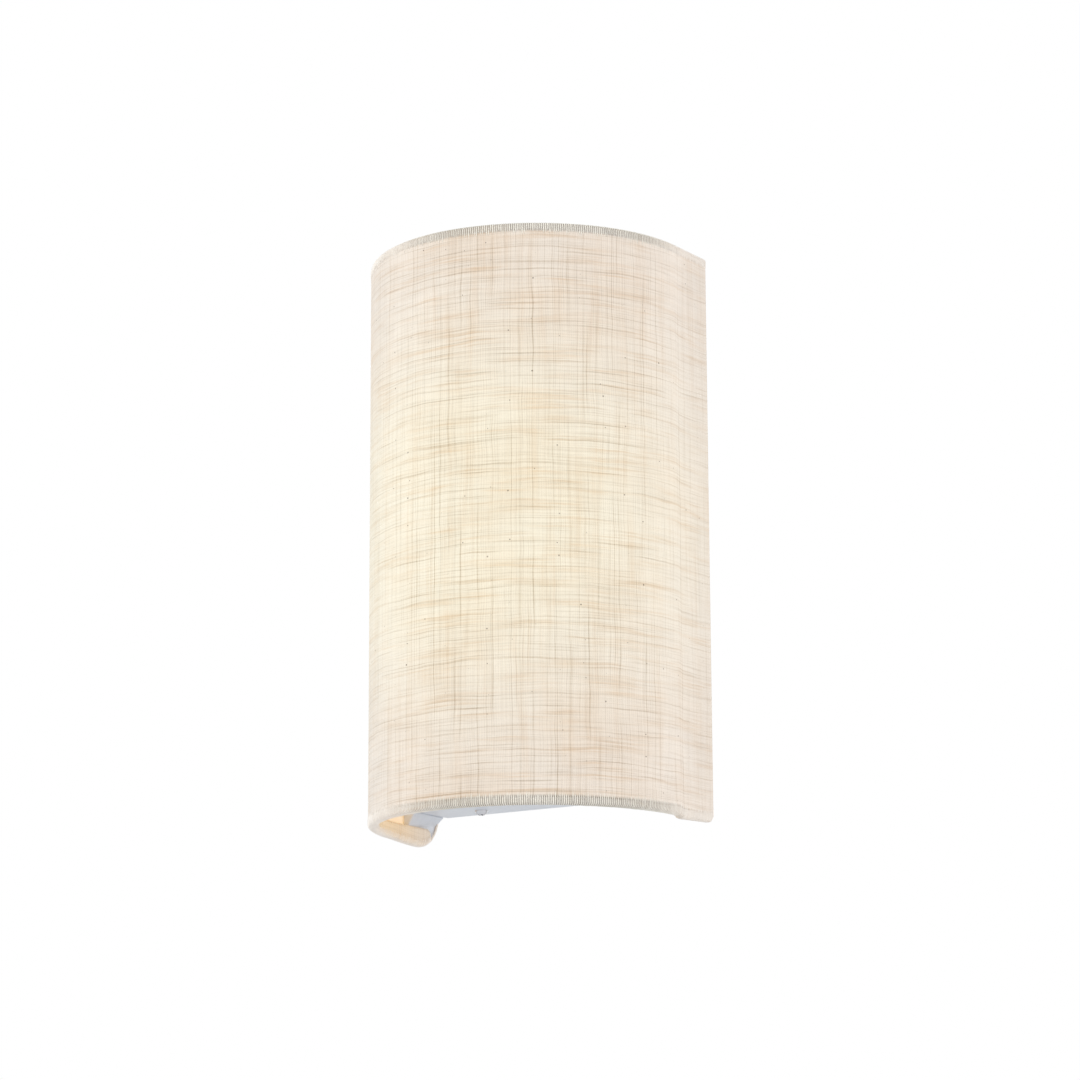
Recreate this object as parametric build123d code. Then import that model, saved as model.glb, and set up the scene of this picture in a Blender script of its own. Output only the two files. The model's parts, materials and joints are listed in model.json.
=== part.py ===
from build123d import *

import math
import os

# A wall light with a D-shaped fabric shade, open at the top and bottom.
# All sizes are in millimetres. The wall is the plane Y = 0, the light stands out towards -Y,
# +X is to the right as one faces the wall, and +Z is up. The origin is the centre of the wall
# plate's back face, which is also the middle of the shade's height.

# Shade: overall sizes
SHADE_WIDTH = 170.0
SHADE_HEIGHT = 293.0

# Straight side walls, between the wall and the half-round front
SIDE_LENGTH = 30.0

# Shade: layers, from the outside in
FABRIC = 0.6
LINER = 0.6
LAYER_GAP = 0.1
WIRE = 3.0
HEM_HEIGHT = 8.0
WALL_GAP = 0.3

# Straight sides: how far they reach below the curved front's rim, and their round lower back corner
SIDE_DROP = 1.5
SIDE_CORNER = 7.0

# Side rails, folded from sheet into a narrow channel that opens to the wall
RAIL_SHEET = 0.8
RAIL_WIDTH = 7.0
RAIL_TIP_WIDTH = 2.2
RAIL_DEPTH = 26.5
RAIL_BEND = 1.0

# How far the returns over the back edges stop short of the rails' inner faces
RETURN_STEP = 1.0

# Rounded ends of the inner hems, which stop short of the wall
HEM_END = 7.4
HEM_ROUND = 3.9

# Back pan
PAN_SHEET = 1.0
PAN_DEPTH = 27.0
PAN_INSET = 16.0
PAN_BEND = 2.0
PAN_CORNER = 2.5
PAN_WALL_GAP = 0.5

# Wall plate
PLATE_SHEET = 1.5
PLATE_WIDTH = 132.0
PLATE_WAIST = 92.0
PLATE_BAR = 32.0
PLATE_CORNER = 5.0
TAB_WIDTH = 16.0
TAB_LENGTH = 21.0
TONGUE_WIDTH = 12.0
TONGUE_REACH = 14.0
TONGUE_RISE = 7.0
TONGUE_X = 40.0
SLOT_CLEARANCE = 1.2
FIXING_SPACING_X = 60.0
FIXING_SLOT = 12.0
FIXING_HOLE = 5.0
FIXING_SPACING_Z = 210.0
CABLE_HOLE = 24.0

# Fasteners
HOLE_CLEARANCE = 0.2
HEX_SIDES = 6
SCREW_TAIL = 1.5
PAN_SCREW = 4.0
PAN_SCREW_X = 44.5
PAN_SCREW_LENGTH = 9.0
PAN_SCREW_HEAD = 7.0
PAN_SCREW_DOME = 2.6
RIVET = 3.0
RIVET_HEAD = 6.0
RIVET_DOME = 1.2
RIVET_TAIL = 4.4
RIVET_TAIL_THICKNESS = 0.9
RIVET_INSET = 22.5
M4_HEAD = 8.0
M4_HEAD_HEIGHT = 2.6
M4_NUT_FLATS = 7.0
M4_NUT_HEIGHT = 3.2
RECESS_WIDTH = 0.9
RECESS_SPAN = 3.6
RECESS_DEPTH = 1.4
RECESS_TURN = 45.0

# Lamp: a small-cap globe bulb that stands upright in the middle of the shade
GLOBE = 45.0
BULB_LENGTH = 78.0
BULB_MIDDLE_Z = 0.0
CAP = 13.8
CAP_LENGTH = 17.0
CAP_STEP = 0.9
CAP_CHAMFER = 1.6
CAP_FLARE = 0.6
TIP = 6.4
TIP_HEIGHT = 1.6
TIP_SHOULDER = 0.6
INSULATOR_HEIGHT = 3.6
NECK_BASE = 17.0
NECK_START_SLOPE = 0.25
NECK_END_SLOPE = 0.62
GLOBE_SEAM = 39.0

# Lamp holder
SCREW_GAP = 0.3
SHELL = 0.5
CORE = 23.0
CORE_FLOOR = 5.0
CONTACT_SHEET = 0.5
SLEEVE_OUTER = 27.0
SLEEVE_WALL = 1.4
SLEEVE_TAPER = 0.6
SLEEVE_ROUND = 1.0
HOLDER_RIM = 2.0
HOLDER_CAP_HEIGHT = 15.0
HOLDER_SHOULDER = 5.2
HOLDER_BOSS = 14.0
HOLDER_BOSS_HEIGHT = 5.0
NIPPLE = 10.0
NIPPLE_BORE = 7.4
NIPPLE_LENGTH = 15.0
NIPPLE_NUT_FLATS = 14.0
NIPPLE_NUT_HEIGHT = 3.0
NIPPLE_WASHER = 16.0
NIPPLE_WASHER_HEIGHT = 0.8

# Lamp bracket, a bent strip from the pan to the holder
STRIP = 1.5
STRIP_WIDTH = 30.0
STRIP_BEND = 3.0
STRIP_DROP = 21.0
STRIP_SCREW_X = 9.0

# Wiring
LEAD = 2.4
LEAD_SPREAD = 1.4
LEAD_DROP = 31.0
LEAD_BACK_Y = -12.0
LEAD_LOW_TURN = 0.45
LEAD_HIGH_TURN = 0.2
LEAD_BEND_LAMP = 17.0
LEAD_BEND_PAN = 11.0
LEAD_BEND_RISE = 22.0
LEAD_BEND_POLE = 18.0
GROMMET_BORE = 6.4
GROMMET_WALL = 1.8
GROMMET_LIP = 1.6
POLE_PITCH = 8.5
BLOCK_WALL = 2.0
BLOCK_HEIGHT = 18.0
BLOCK_DEPTH = 15.0
BLOCK_TOP_Z = -32.0
BLOCK_ROUND = 1.0
POLE_DEPTH = 8.2
TUBE = 5.0
TUBE_BORE = 3.2
TERMINAL_SCREW = 2.6
TERMINAL_SPACING = 9.0
TERMINAL_WELL = 2.5
SMALL_SCREW = 3.0
SMALL_HEAD = 5.4
SMALL_HEAD_HEIGHT = 1.8
EARTH_X = 34.0
EARTH_DROP = 24.0
EARTH_FALL = 12.0
EARTH_SWING = 3.0
EARTH_STRAIGHT = 4.0
EARTH_BEND_POLE = 8.0
EARTH_BEND_TAG = 7.2
TAG_SHEET = 0.8
TAG_RING = 8.5
TAG_BARREL = 3.4
TAG_BARREL_LENGTH = 6.0

# The gap between pieces that are seated on each other, and the overlap of one piece's own forms
SEAT = 0.1
WELD = 0.05

# Places that follow from the sizes above
HALF_WIDTH = SHADE_WIDTH / 2
HALF_HEIGHT = SHADE_HEIGHT / 2
SHADE_DEPTH = HALF_WIDTH + SIDE_LENGTH
LINER_INSET = FABRIC + LAYER_GAP
FRAME_INSET = LINER_INSET + LINER + LAYER_GAP
HEM_INSET = FRAME_INSET + WIRE + LAYER_GAP
OPEN_INSET = HEM_INSET + FABRIC
RAIL_BACK = WALL_GAP + FABRIC + LAYER_GAP
RAIL_FRONT = RAIL_BACK + RAIL_DEPTH
RAIL_OUTER_X = HALF_WIDTH - FRAME_INSET
RAIL_FACE_X = RAIL_OUTER_X - RAIL_WIDTH
RAIL_TIP_X = RAIL_OUTER_X - RAIL_TIP_WIDTH
FRAME_TOP = HALF_HEIGHT - FABRIC - LAYER_GAP
RIM_Z = -HALF_HEIGHT + SIDE_DROP
RIM_INSIDE_Z = RIM_Z + FABRIC + LAYER_GAP
PAN_HALF_WIDTH = RAIL_FACE_X - SEAT
PAN_HALF_HEIGHT = HALF_HEIGHT - PAN_INSET
PLATE_HALF_HEIGHT = PAN_HALF_HEIGHT - PAN_SHEET - SEAT
PAN_INSIDE_Y = -PAN_DEPTH + PAN_SHEET
PAN_SCREW_Y = -PAN_DEPTH / 2
LAMP_Y = -(PAN_DEPTH + SHADE_DEPTH - OPEN_INSET) / 2
BULB_TOP_Z = BULB_MIDDLE_Z + GLOBE / 2
TIP_Z = BULB_TOP_Z - BULB_LENGTH
INSULATOR_Z = TIP_Z + TIP_HEIGHT
CAP_Z = INSULATOR_Z + INSULATOR_HEIGHT
NECK_Z = CAP_Z + CAP_LENGTH
SHELL_INSIDE = CAP / 2 + SCREW_GAP
CORE_TOP_Z = NECK_Z - SCREW_GAP - HOLDER_RIM
CONTACT_Z = TIP_Z - SCREW_GAP
CORE_Z = CONTACT_Z - CONTACT_SHEET - CORE_FLOOR
HOLDER_SPLIT_Z = CORE_Z - SEAT
HOLDER_CAP_Z = HOLDER_SPLIT_Z - HOLDER_CAP_HEIGHT
WASHER_Z = HOLDER_CAP_Z - HOLDER_BOSS_HEIGHT - SEAT - NIPPLE_WASHER_HEIGHT
STRIP_TOP_Z = WASHER_Z - SEAT
NIPPLE_NUT_Z = STRIP_TOP_Z - STRIP - SEAT - NIPPLE_NUT_HEIGHT
NIPPLE_Z = NIPPLE_NUT_Z - STRIP
LEAD_TURN_Z = NIPPLE_Z - LEAD_DROP
STRIP_SCREW_Z = STRIP_TOP_Z - STRIP_DROP / 2 - STRIP
BLOCK_Z = BLOCK_TOP_Z - BLOCK_HEIGHT
BLOCK_BACK_Y = -PLATE_SHEET - SEAT
POLE_Y = BLOCK_BACK_Y - POLE_DEPTH
EARTH_Z = BLOCK_Z - EARTH_DROP


def disc(radius, low, high, x=0.0, y=0.0):
    """A round bar along Z from low to high."""
    return Pos(x, y, low) * Cylinder(radius, high - low, align=(Align.CENTER, Align.CENTER, Align.MIN))


def bar_y(radius, x, z, back, front):
    """A round bar along Y from back to front, the more negative end."""
    return Pos(x, back, z) * Rot(90, 0, 0) * Cylinder(
        radius, back - front, align=(Align.CENTER, Align.CENTER, Align.MIN)
    )


def bar_x(radius, y, z, start, end):
    """A round bar along X between two places."""
    low = min(start, end)
    return Pos(low, y, z) * Rot(0, 90, 0) * Cylinder(
        radius, abs(end - start), align=(Align.CENTER, Align.CENTER, Align.MIN)
    )


def block(x, y, z):
    """A box from three (low, high) pairs."""
    size = [high - low for low, high in (x, y, z)]
    return Pos(x[0], y[0], z[0]) * Box(*size, align=(Align.MIN, Align.MIN, Align.MIN))


def face_of(*lines):
    """The flat face that a closed chain of lines bounds."""
    return make_face([edge for line in lines for edge in line.edges()])


def turned(points, x=0.0, y=0.0):
    """A solid of revolution about Z, from (radius, height) points."""
    return Pos(x, y, 0) * revolve(Plane.XZ * face_of(Polyline(*points, close=True)), Axis.Z)


def tube(radius_out, radius_in, low, high, x=0.0, y=0.0):
    """A straight pipe along Z."""
    return disc(radius_out, low, high, x, y) - disc(radius_in, low - 1, high + 1, x, y)


def hex_bar(flats, height):
    """A hexagon bar standing on the XY plane."""
    return extrude(RegularPolygon(flats / math.sqrt(3), HEX_SIDES), height)


def plan(inset, back):
    """The shade's D-shaped plan, drawn in by inset, from y = -back to the front."""
    half = HALF_WIDTH - inset
    left = Line((-half, -back), (-half, -SIDE_LENGTH))
    front = CenterArc((0, -SIDE_LENGTH), half, 180, 180)
    right = Line((half, -SIDE_LENGTH), (half, -back))
    rear = Line((half, -back), (-half, -back))
    return face_of(left, front, right, rear)


def upright(face, low, high):
    """A flat plan raised from low to high."""
    return extrude(Pos(0, 0, low) * face, high - low)


def mirrored(solid, plane):
    """A solid and its mirror image, as one group."""
    return Compound([solid, mirror(solid, plane)])


# ---- shade ------------------------------------------------------------------------------


def span(y, z):
    """A slab over the whole width, between two places along Y and two heights."""
    return block((-HALF_WIDTH - 1, HALF_WIDTH + 1), y, z)


def side_form(inset):
    """The shade's outline from the side, drawn in by inset: its lower back corner is round."""
    form = span((-SHADE_DEPTH - 1, -WALL_GAP - inset), (-HALF_HEIGHT + inset, HALF_HEIGHT + 1))
    corner = form.edges().filter_by(Axis.X).sort_by(lambda edge: edge.center().Z - edge.center().Y)[0]
    return fillet(corner, SIDE_CORNER - inset)


def hem(foot):
    """A hem at a level foot: the turn under the edge, and the inner wall."""
    turn = plan(0, WALL_GAP) - plan(OPEN_INSET, -1)
    inner = plan(HEM_INSET, WALL_GAP) - plan(OPEN_INSET, -1)
    return upright(turn, foot, foot + FABRIC) + upright(inner, foot, foot + HEM_HEIGHT)


def side_hem(under):
    """The straight sides' hem: a strip under each rail, and an inner part that ends in a round."""
    foot = -HALF_HEIGHT
    tab = span((-SIDE_LENGTH, -HEM_END), (foot, foot + HEM_HEIGHT))
    tab = fillet(tab.edges().filter_by(Axis.X).group_by(Axis.Y)[-1], HEM_ROUND)
    ring = upright(plan(0, WALL_GAP) - plan(OPEN_INSET, -1), foot, foot + SIDE_CORNER)
    ring &= span((-SIDE_LENGTH, 1), (foot, foot + SIDE_CORNER))
    between = block((-RAIL_TIP_X, RAIL_TIP_X), (-SIDE_LENGTH - 1, 1), (foot - 1, foot + SIDE_CORNER + 1))
    return (hem(foot) & tab) + ((ring - between) & under)


def rail_edge(step):
    """The inner edge of the right rail's upper half, moved outwards by step."""
    hem_top = HALF_HEIGHT - HEM_HEIGHT + LAYER_GAP
    return [(RAIL_TIP_X + step, hem_top), (RAIL_FACE_X + step, PAN_HALF_HEIGHT)]


def rear_opening():
    """The opening in the shade's back: the returns follow the taper of the rails."""
    upper = [(RAIL_TIP_X + RETURN_STEP, HALF_HEIGHT + 1), *rail_edge(RETURN_STEP)]
    right = upper + [(x, -z) for x, z in reversed(upper)]
    left = [(-x, z) for x, z in reversed(right)]
    opening = face_of(Polyline(*right, *left, close=True))
    toward_room = Plane((0, 0, 0), x_dir=(1, 0, 0), z_dir=(0, -1, 0))
    return extrude(toward_room * opening, RAIL_BACK)


def shade_fabric():
    """The linen skin: one wall, a return at each back edge, and a hem turned in at both ends."""
    front = span((-SHADE_DEPTH - 1, -SIDE_LENGTH), (-HALF_HEIGHT - 1, HALF_HEIGHT + 1))
    hollow = plan(FABRIC, WALL_GAP + FABRIC)
    skin = upright(plan(0, WALL_GAP) - hollow, -HALF_HEIGHT, HALF_HEIGHT) - rear_opening()
    skin = (skin & side_form(0)) - span((-SHADE_DEPTH - 1, -SIDE_LENGTH), (-HALF_HEIGHT - 1, RIM_Z))
    lower = side_hem(side_form(0) - side_form(FABRIC)) + (hem(RIM_Z) & front)
    level = span((-SIDE_LENGTH, 1), (-HALF_HEIGHT, -HALF_HEIGHT + FABRIC))
    upper = side_hem(level) + (hem(-HALF_HEIGHT) & front)
    step = upright(plan(0, WALL_GAP) - plan(OPEN_INSET, -1), -HALF_HEIGHT, RIM_Z + FABRIC)
    step &= span((-SIDE_LENGTH, -SIDE_LENGTH + FABRIC), (-HALF_HEIGHT - 1, HALF_HEIGHT))
    return skin + lower + step + mirror(upper, Plane.XY)


def shade_liner():
    """The smooth white lining behind the linen."""
    ring = plan(LINER_INSET, RAIL_BACK) - plan(LINER_INSET + LINER, -1)
    return upright(ring, RIM_INSIDE_Z, FRAME_TOP) & side_form(FABRIC + LAYER_GAP)


def ring_wire(z):
    """The wire that holds the shade's curve, from the front of one rail to the other."""
    half = RAIL_OUTER_X - WIRE / 2
    ends = -(RAIL_FRONT + LAYER_GAP)
    path = Wire(
        [
            Line((-half, ends), (-half, -SIDE_LENGTH)),
            CenterArc((0, -SIDE_LENGTH), half, 180, 180),
            Line((half, -SIDE_LENGTH), (half, ends)),
        ]
    )
    section = Plane((-half, ends, 0), z_dir=(0, -1, 0)) * Circle(WIRE / 2)
    return Pos(0, 0, z) * sweep(section, path)


def rivet_heights():
    outer = PAN_HALF_HEIGHT - RIVET_INSET
    return [-outer, 0, outer]


def rail_outline(sheet, end):
    """The right rail seen from the front: wide beside the pan, narrow inside the hems."""
    upper = [(RAIL_OUTER_X - sheet, end), (RAIL_TIP_X + sheet, end), *rail_edge(sheet)]
    lower = [(x, -z) for x, z in reversed(upper)]
    return face_of(Polyline(*upper, *lower, close=True))


def rail_form(outline, back, front, bend):
    """A rail outline given its depth, with its front edges bent round."""
    toward_room = Plane((0, -back, 0), x_dir=(1, 0, 0), z_dir=(0, -1, 0))
    solid = extrude(toward_room * outline, front - back)
    front_face = solid.faces().sort_by(Axis.Y)[0]
    return fillet(front_face.edges().filter_by(Axis.X, reverse=True), bend)


def side_rail():
    """The right rail: a channel of folded sheet that stiffens the shade's straight back edge."""
    rail = rail_form(rail_outline(0, FRAME_TOP), RAIL_BACK, RAIL_FRONT, RAIL_BEND)
    inside = rail_outline(RAIL_SHEET, FRAME_TOP + 1)
    rail -= rail_form(inside, RAIL_BACK - 1, RAIL_FRONT - RAIL_SHEET, RAIL_BEND - RAIL_SHEET)
    hole = RIVET / 2 + HOLE_CLEARANCE
    for z in rivet_heights():
        rail -= bar_x(hole, PAN_SCREW_Y, z, RAIL_FACE_X - 1, RAIL_FACE_X + 2 * RAIL_SHEET)
    return rail & side_form(FABRIC + LAYER_GAP)


def rail_rivet(z):
    """One rivet through the pan's side and the rail, its dome inside the pan."""
    inside = PAN_HALF_WIDTH - PAN_SHEET - SEAT / 2
    back = RAIL_FACE_X + RAIL_SHEET + SEAT / 2
    shank = bar_x(RIVET / 2, PAN_SCREW_Y, z, inside, back + WELD)
    tail = bar_x(RIVET_TAIL / 2, PAN_SCREW_Y, z, back, back + RIVET_TAIL_THICKNESS)
    dome = Pos(inside, PAN_SCREW_Y, z) * Rot(0, -90, 0) * domed_head(RIVET_HEAD, RIVET_DOME)
    return shank + tail + dome


def domed_head(diameter, height):
    """A low round dome standing on the XY plane."""
    ball = ((diameter / 2) ** 2 + height**2) / (2 * height)
    slab = Cylinder(diameter, height, align=(Align.CENTER, Align.CENTER, Align.MIN))
    return slab & (Pos(0, 0, height - ball) * Sphere(ball))


# ---- pan and wall plate -----------------------------------------------------------------


def pan_blank(shrink, corner, bend, back):
    """A tray form seen from the front, with rounded corners and a rounded front edge."""
    outline = RectangleRounded(2 * (PAN_HALF_WIDTH - shrink), 2 * (PAN_HALF_HEIGHT - shrink), corner)
    depth = PAN_DEPTH - shrink - back
    solid = extrude(Plane((0, -back, 0), x_dir=(1, 0, 0), z_dir=(0, -1, 0)) * outline, depth)
    return fillet(solid.faces().sort_by(Axis.Y)[0].edges(), bend)


def back_pan():
    """The white steel tray that covers the wiring and carries the shade and the lamp."""
    pan = pan_blank(0, PAN_CORNER, PAN_BEND, PAN_WALL_GAP)
    pan -= pan_blank(PAN_SHEET, PAN_CORNER - PAN_SHEET, PAN_BEND - PAN_SHEET, -1)
    hole = PAN_SCREW / 2 + HOLE_CLEARANCE
    for x in (-PAN_SCREW_X, PAN_SCREW_X):
        pan -= disc(hole, -PAN_HALF_HEIGHT - 1, -PAN_HALF_HEIGHT + PAN_SHEET + 1, x, PAN_SCREW_Y)
    half = TONGUE_WIDTH / 2 + SLOT_CLEARANCE
    slot_y = (-TONGUE_REACH - SLOT_CLEARANCE, -TONGUE_REACH + PLATE_SHEET + SLOT_CLEARANCE)
    slot_z = (PAN_HALF_HEIGHT - PAN_SHEET - 1, PAN_HALF_HEIGHT + 1)
    for x in (-TONGUE_X, TONGUE_X):
        pan -= block((x - half, x + half), slot_y, slot_z)
    for x in (-STRIP_SCREW_X, STRIP_SCREW_X):
        pan -= bar_y(hole, x, STRIP_SCREW_Z, PAN_INSIDE_Y + 1, -PAN_DEPTH - 1)
    pan -= bar_y(GROMMET_BORE / 2 + GROMMET_WALL, 0, LEAD_TURN_Z, PAN_INSIDE_Y + 1, -PAN_DEPTH - 1)
    pan -= bar_y(hole, EARTH_X, EARTH_Z, PAN_INSIDE_Y + 1, -PAN_DEPTH - 1)
    for z in rivet_heights():
        pan -= bar_x(RIVET / 2 + HOLE_CLEARANCE, PAN_SCREW_Y, z, -HALF_WIDTH, HALF_WIDTH)
    return pan


def pan_screw(x):
    """One dome-headed screw, driven up through the pan's lower flange into the wall plate's tab."""
    under = -PAN_HALF_HEIGHT - SEAT / 2
    shank = disc(PAN_SCREW / 2, under - WELD, under + PAN_SCREW_LENGTH, x, PAN_SCREW_Y)
    head = domed_head(PAN_SCREW_HEAD, PAN_SCREW_DOME) - cross_recess(PAN_SCREW_DOME)
    return shank + Pos(x, PAN_SCREW_Y, under) * Rot(180, 0, RECESS_TURN) * head


def cross_recess(top):
    """The cross in a screw's head, cut down from top."""
    span = RECESS_SPAN / 2
    width = RECESS_WIDTH / 2
    arm = block((-span, span), (-width, width), (top - RECESS_DEPTH, top + 1))
    return arm + Rot(0, 0, 90) * arm


def side_profile(points, thickness, bend, half_width, x=0.0):
    """A bent strip of sheet: its middle line in (y, z), its thickness and its half width."""
    strip = Plane.YZ * trace(FilletPolyline(*points, radius=bend), thickness)
    return Pos(x, 0, 0) * extrude(strip, half_width, both=True)


def wall_plate():
    """The sheet plate on the wall: two tongues hold the pan's top and two tabs take its screws."""
    front = Plane((0, 0, 0), x_dir=(1, 0, 0), z_dir=(0, -1, 0))
    waist_height = 2 * PLATE_HALF_HEIGHT - PLATE_BAR
    outline = Rectangle(PLATE_WAIST, waist_height)
    for z in (-1, 1):
        bar_z = z * (PLATE_HALF_HEIGHT - PLATE_BAR / 2)
        outline += Pos(0, bar_z) * RectangleRounded(PLATE_WIDTH, PLATE_BAR, PLATE_CORNER)
    for x in (-FIXING_SPACING_X / 2, FIXING_SPACING_X / 2):
        outline -= Pos(x, 0) * SlotOverall(FIXING_SLOT, FIXING_HOLE)
    for z in (-FIXING_SPACING_Z / 2, FIXING_SPACING_Z / 2):
        outline -= Pos(0, z) * Circle(FIXING_HOLE / 2)
    outline -= Circle(CABLE_HOLE / 2)
    plate = extrude(front * outline, PLATE_SHEET)
    half = PLATE_SHEET / 2
    level = PLATE_HALF_HEIGHT - half
    start = PLATE_HALF_HEIGHT - PLATE_CORNER
    tab = [(-half, -start), (-half, -level), (-TAB_LENGTH, -level)]
    tongue = [(-half, start), (-half, level), (half - TONGUE_REACH, level)]
    tongue.append((half - TONGUE_REACH, level + half + TONGUE_RISE))
    thread_top = -PLATE_HALF_HEIGHT + 2 * PLATE_SHEET
    thread = disc(PAN_SCREW / 2 + SEAT / 2, -PLATE_HALF_HEIGHT - 1, thread_top)
    for side in (-1, 1):
        plate += side_profile(tab, PLATE_SHEET, PLATE_SHEET, TAB_WIDTH / 2, side * PAN_SCREW_X)
        plate += side_profile(tongue, PLATE_SHEET, PLATE_SHEET, TONGUE_WIDTH / 2, side * TONGUE_X)
        plate -= Pos(side * PAN_SCREW_X, PAN_SCREW_Y, 0) * thread
    plate -= bar_y(SMALL_SCREW / 2 + SEAT / 2, POLE_PITCH / 2, block_middle_z(), 1, -PLATE_SHEET - 1)
    return plate


# ---- lamp bracket and holder ------------------------------------------------------------


def lamp_bracket():
    """A bent strip: its leg lies on the pan, its arm holds the lamp holder."""
    leg_y = -PAN_DEPTH - SEAT - STRIP / 2
    arm_z = STRIP_TOP_Z - STRIP / 2
    points = [(leg_y, STRIP_TOP_Z - STRIP_DROP), (leg_y, arm_z), (LAMP_Y, arm_z)]
    strip = side_profile(points, STRIP, STRIP_BEND, STRIP_WIDTH / 2)
    strip += disc(STRIP_WIDTH / 2, STRIP_TOP_Z - STRIP, STRIP_TOP_Z, 0, LAMP_Y)
    strip -= disc(NIPPLE / 2 + HOLE_CLEARANCE, STRIP_TOP_Z - STRIP - 1, STRIP_TOP_Z + 1, 0, LAMP_Y)
    for x in (-STRIP_SCREW_X, STRIP_SCREW_X):
        strip -= bar_y(PAN_SCREW / 2 + HOLE_CLEARANCE, x, STRIP_SCREW_Z, -PAN_DEPTH + 1, leg_y - STRIP)
    return strip


def front_screw(x, z, seat_y, end_y, head):
    """A screw along Y whose domed head bears on the plane y = seat_y."""
    shank = bar_y(PAN_SCREW / 2, x, z, end_y, seat_y - WELD)
    cap = domed_head(head, M4_HEAD_HEIGHT) - cross_recess(M4_HEAD_HEIGHT)
    return shank + Pos(x, seat_y, z) * Rot(90, 0, 0) * cap


def nut_y(x, z, front_y):
    """A hexagon nut along Y with its front face at front_y, on a screw of the common size."""
    nut = hex_bar(M4_NUT_FLATS, M4_NUT_HEIGHT) - Cylinder(PAN_SCREW / 2 + SEAT / 2, 4 * M4_NUT_HEIGHT)
    return Pos(x, front_y, z) * Rot(-90, 0, 0) * nut


def strip_screws():
    seat = -PAN_DEPTH - SEAT - STRIP - SEAT / 2
    end = PAN_INSIDE_Y + M4_NUT_HEIGHT + SCREW_TAIL
    return mirrored(front_screw(STRIP_SCREW_X, STRIP_SCREW_Z, seat, end, M4_HEAD), Plane.YZ)


def strip_nuts():
    return mirrored(nut_y(STRIP_SCREW_X, STRIP_SCREW_Z, PAN_INSIDE_Y + SEAT / 2), Plane.YZ)


def nipple():
    """The hollow threaded tube that clamps the holder to the bracket and lets the leads in."""
    return tube(NIPPLE / 2, NIPPLE_BORE / 2, NIPPLE_Z, NIPPLE_Z + NIPPLE_LENGTH, 0, LAMP_Y)


def nipple_nut():
    nut = hex_bar(NIPPLE_NUT_FLATS, NIPPLE_NUT_HEIGHT)
    nut -= Cylinder(NIPPLE / 2 + SEAT / 2, 4 * NIPPLE_NUT_HEIGHT)
    return Pos(0, LAMP_Y, NIPPLE_NUT_Z) * nut


def nipple_washer():
    top = WASHER_Z + NIPPLE_WASHER_HEIGHT
    return tube(NIPPLE_WASHER / 2, NIPPLE / 2 + HOLE_CLEARANCE, WASHER_Z, top, 0, LAMP_Y)


def holder_cap():
    """The lower cup of the lamp holder, which narrows to a boss on the nipple."""
    outer = SLEEVE_OUTER / 2
    inner = outer - SLEEVE_WALL
    boss = HOLDER_BOSS / 2
    bore = NIPPLE / 2 + SEAT / 2
    foot = HOLDER_CAP_Z - HOLDER_BOSS_HEIGHT
    shoulder = HOLDER_CAP_Z + HOLDER_SHOULDER
    floor = NIPPLE_Z + NIPPLE_LENGTH + SEAT
    return turned(
        [
            (bore, foot),
            (boss, foot),
            (boss, HOLDER_CAP_Z),
            (outer - SLEEVE_ROUND, shoulder),
            (outer, shoulder + SLEEVE_ROUND),
            (outer, HOLDER_SPLIT_Z),
            (inner, HOLDER_SPLIT_Z),
            (inner, shoulder + SLEEVE_ROUND + SLEEVE_WALL),
            (boss, floor),
            (bore, floor),
        ],
        0,
        LAMP_Y,
    )


def holder_sleeve():
    """The upper sleeve, which screws to the cup and rims the lamp's cap."""
    outer = SLEEVE_OUTER / 2
    inner = outer - SLEEVE_WALL
    rim_inner = NECK_BASE / 2 + SCREW_GAP
    low = HOLDER_SPLIT_Z + SEAT
    top = NECK_Z - SCREW_GAP
    return turned(
        [
            (inner, low),
            (outer, low),
            (outer - SLEEVE_TAPER, top - SLEEVE_ROUND),
            (outer - SLEEVE_TAPER - SLEEVE_ROUND, top),
            (rim_inner, top),
            (rim_inner, CORE_TOP_Z + SEAT),
            (inner, CORE_TOP_Z + SEAT),
        ],
        0,
        LAMP_Y,
    )


def holder_core():
    """The ceramic insert: a cup round the screw shell, with two terminal pockets in its foot."""
    core = tube(CORE / 2, SHELL_INSIDE + SHELL + SEAT, CORE_Z + CORE_FLOOR, CORE_TOP_Z, 0, LAMP_Y)
    core += disc(CORE / 2, CORE_Z, CORE_Z + CORE_FLOOR + WELD, 0, LAMP_Y)
    for x in (-LEAD_SPREAD, LEAD_SPREAD):
        core -= disc(LEAD / 2 + SEAT, CORE_Z - 1, CORE_Z + CORE_FLOOR / 2, x, LAMP_Y)
    for side in (-1, 1):
        core -= core_screw_hole(side)
    return core


def core_screw_hole(side):
    middle = CORE_Z + CORE_FLOOR / 2
    radius = TERMINAL_SCREW / 2 + SEAT / 2
    return bar_x(radius, LAMP_Y, middle, side * CORE / 2, side * (LEAD_SPREAD + LEAD))


def core_screws():
    """The two clamp screws of the holder's terminals, set into the core from its sides."""
    middle = CORE_Z + CORE_FLOOR / 2
    start = LEAD_SPREAD + LEAD + SEAT
    return mirrored(bar_x(TERMINAL_SCREW / 2, LAMP_Y, middle, start, CORE / 2 - SEAT), Plane.YZ)


def holder_shell():
    """The metal screw shell that the lamp's cap turns in."""
    low = CORE_Z + CORE_FLOOR + CONTACT_SHEET + 3 * SCREW_GAP
    return tube(SHELL_INSIDE + SHELL, SHELL_INSIDE, low, CORE_TOP_Z - SEAT, 0, LAMP_Y)


def holder_contact():
    """The springy tongue under the lamp's tip."""
    width = TIP
    low = CORE_Z + CORE_FLOOR + SEAT / 2
    half = SHELL_INSIDE - SCREW_GAP
    strip = block((-half, half), (LAMP_Y - width / 2, LAMP_Y + width / 2), (low, CONTACT_Z))
    return strip & disc(half, low - 1, CONTACT_Z + 1, 0, LAMP_Y)


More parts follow.
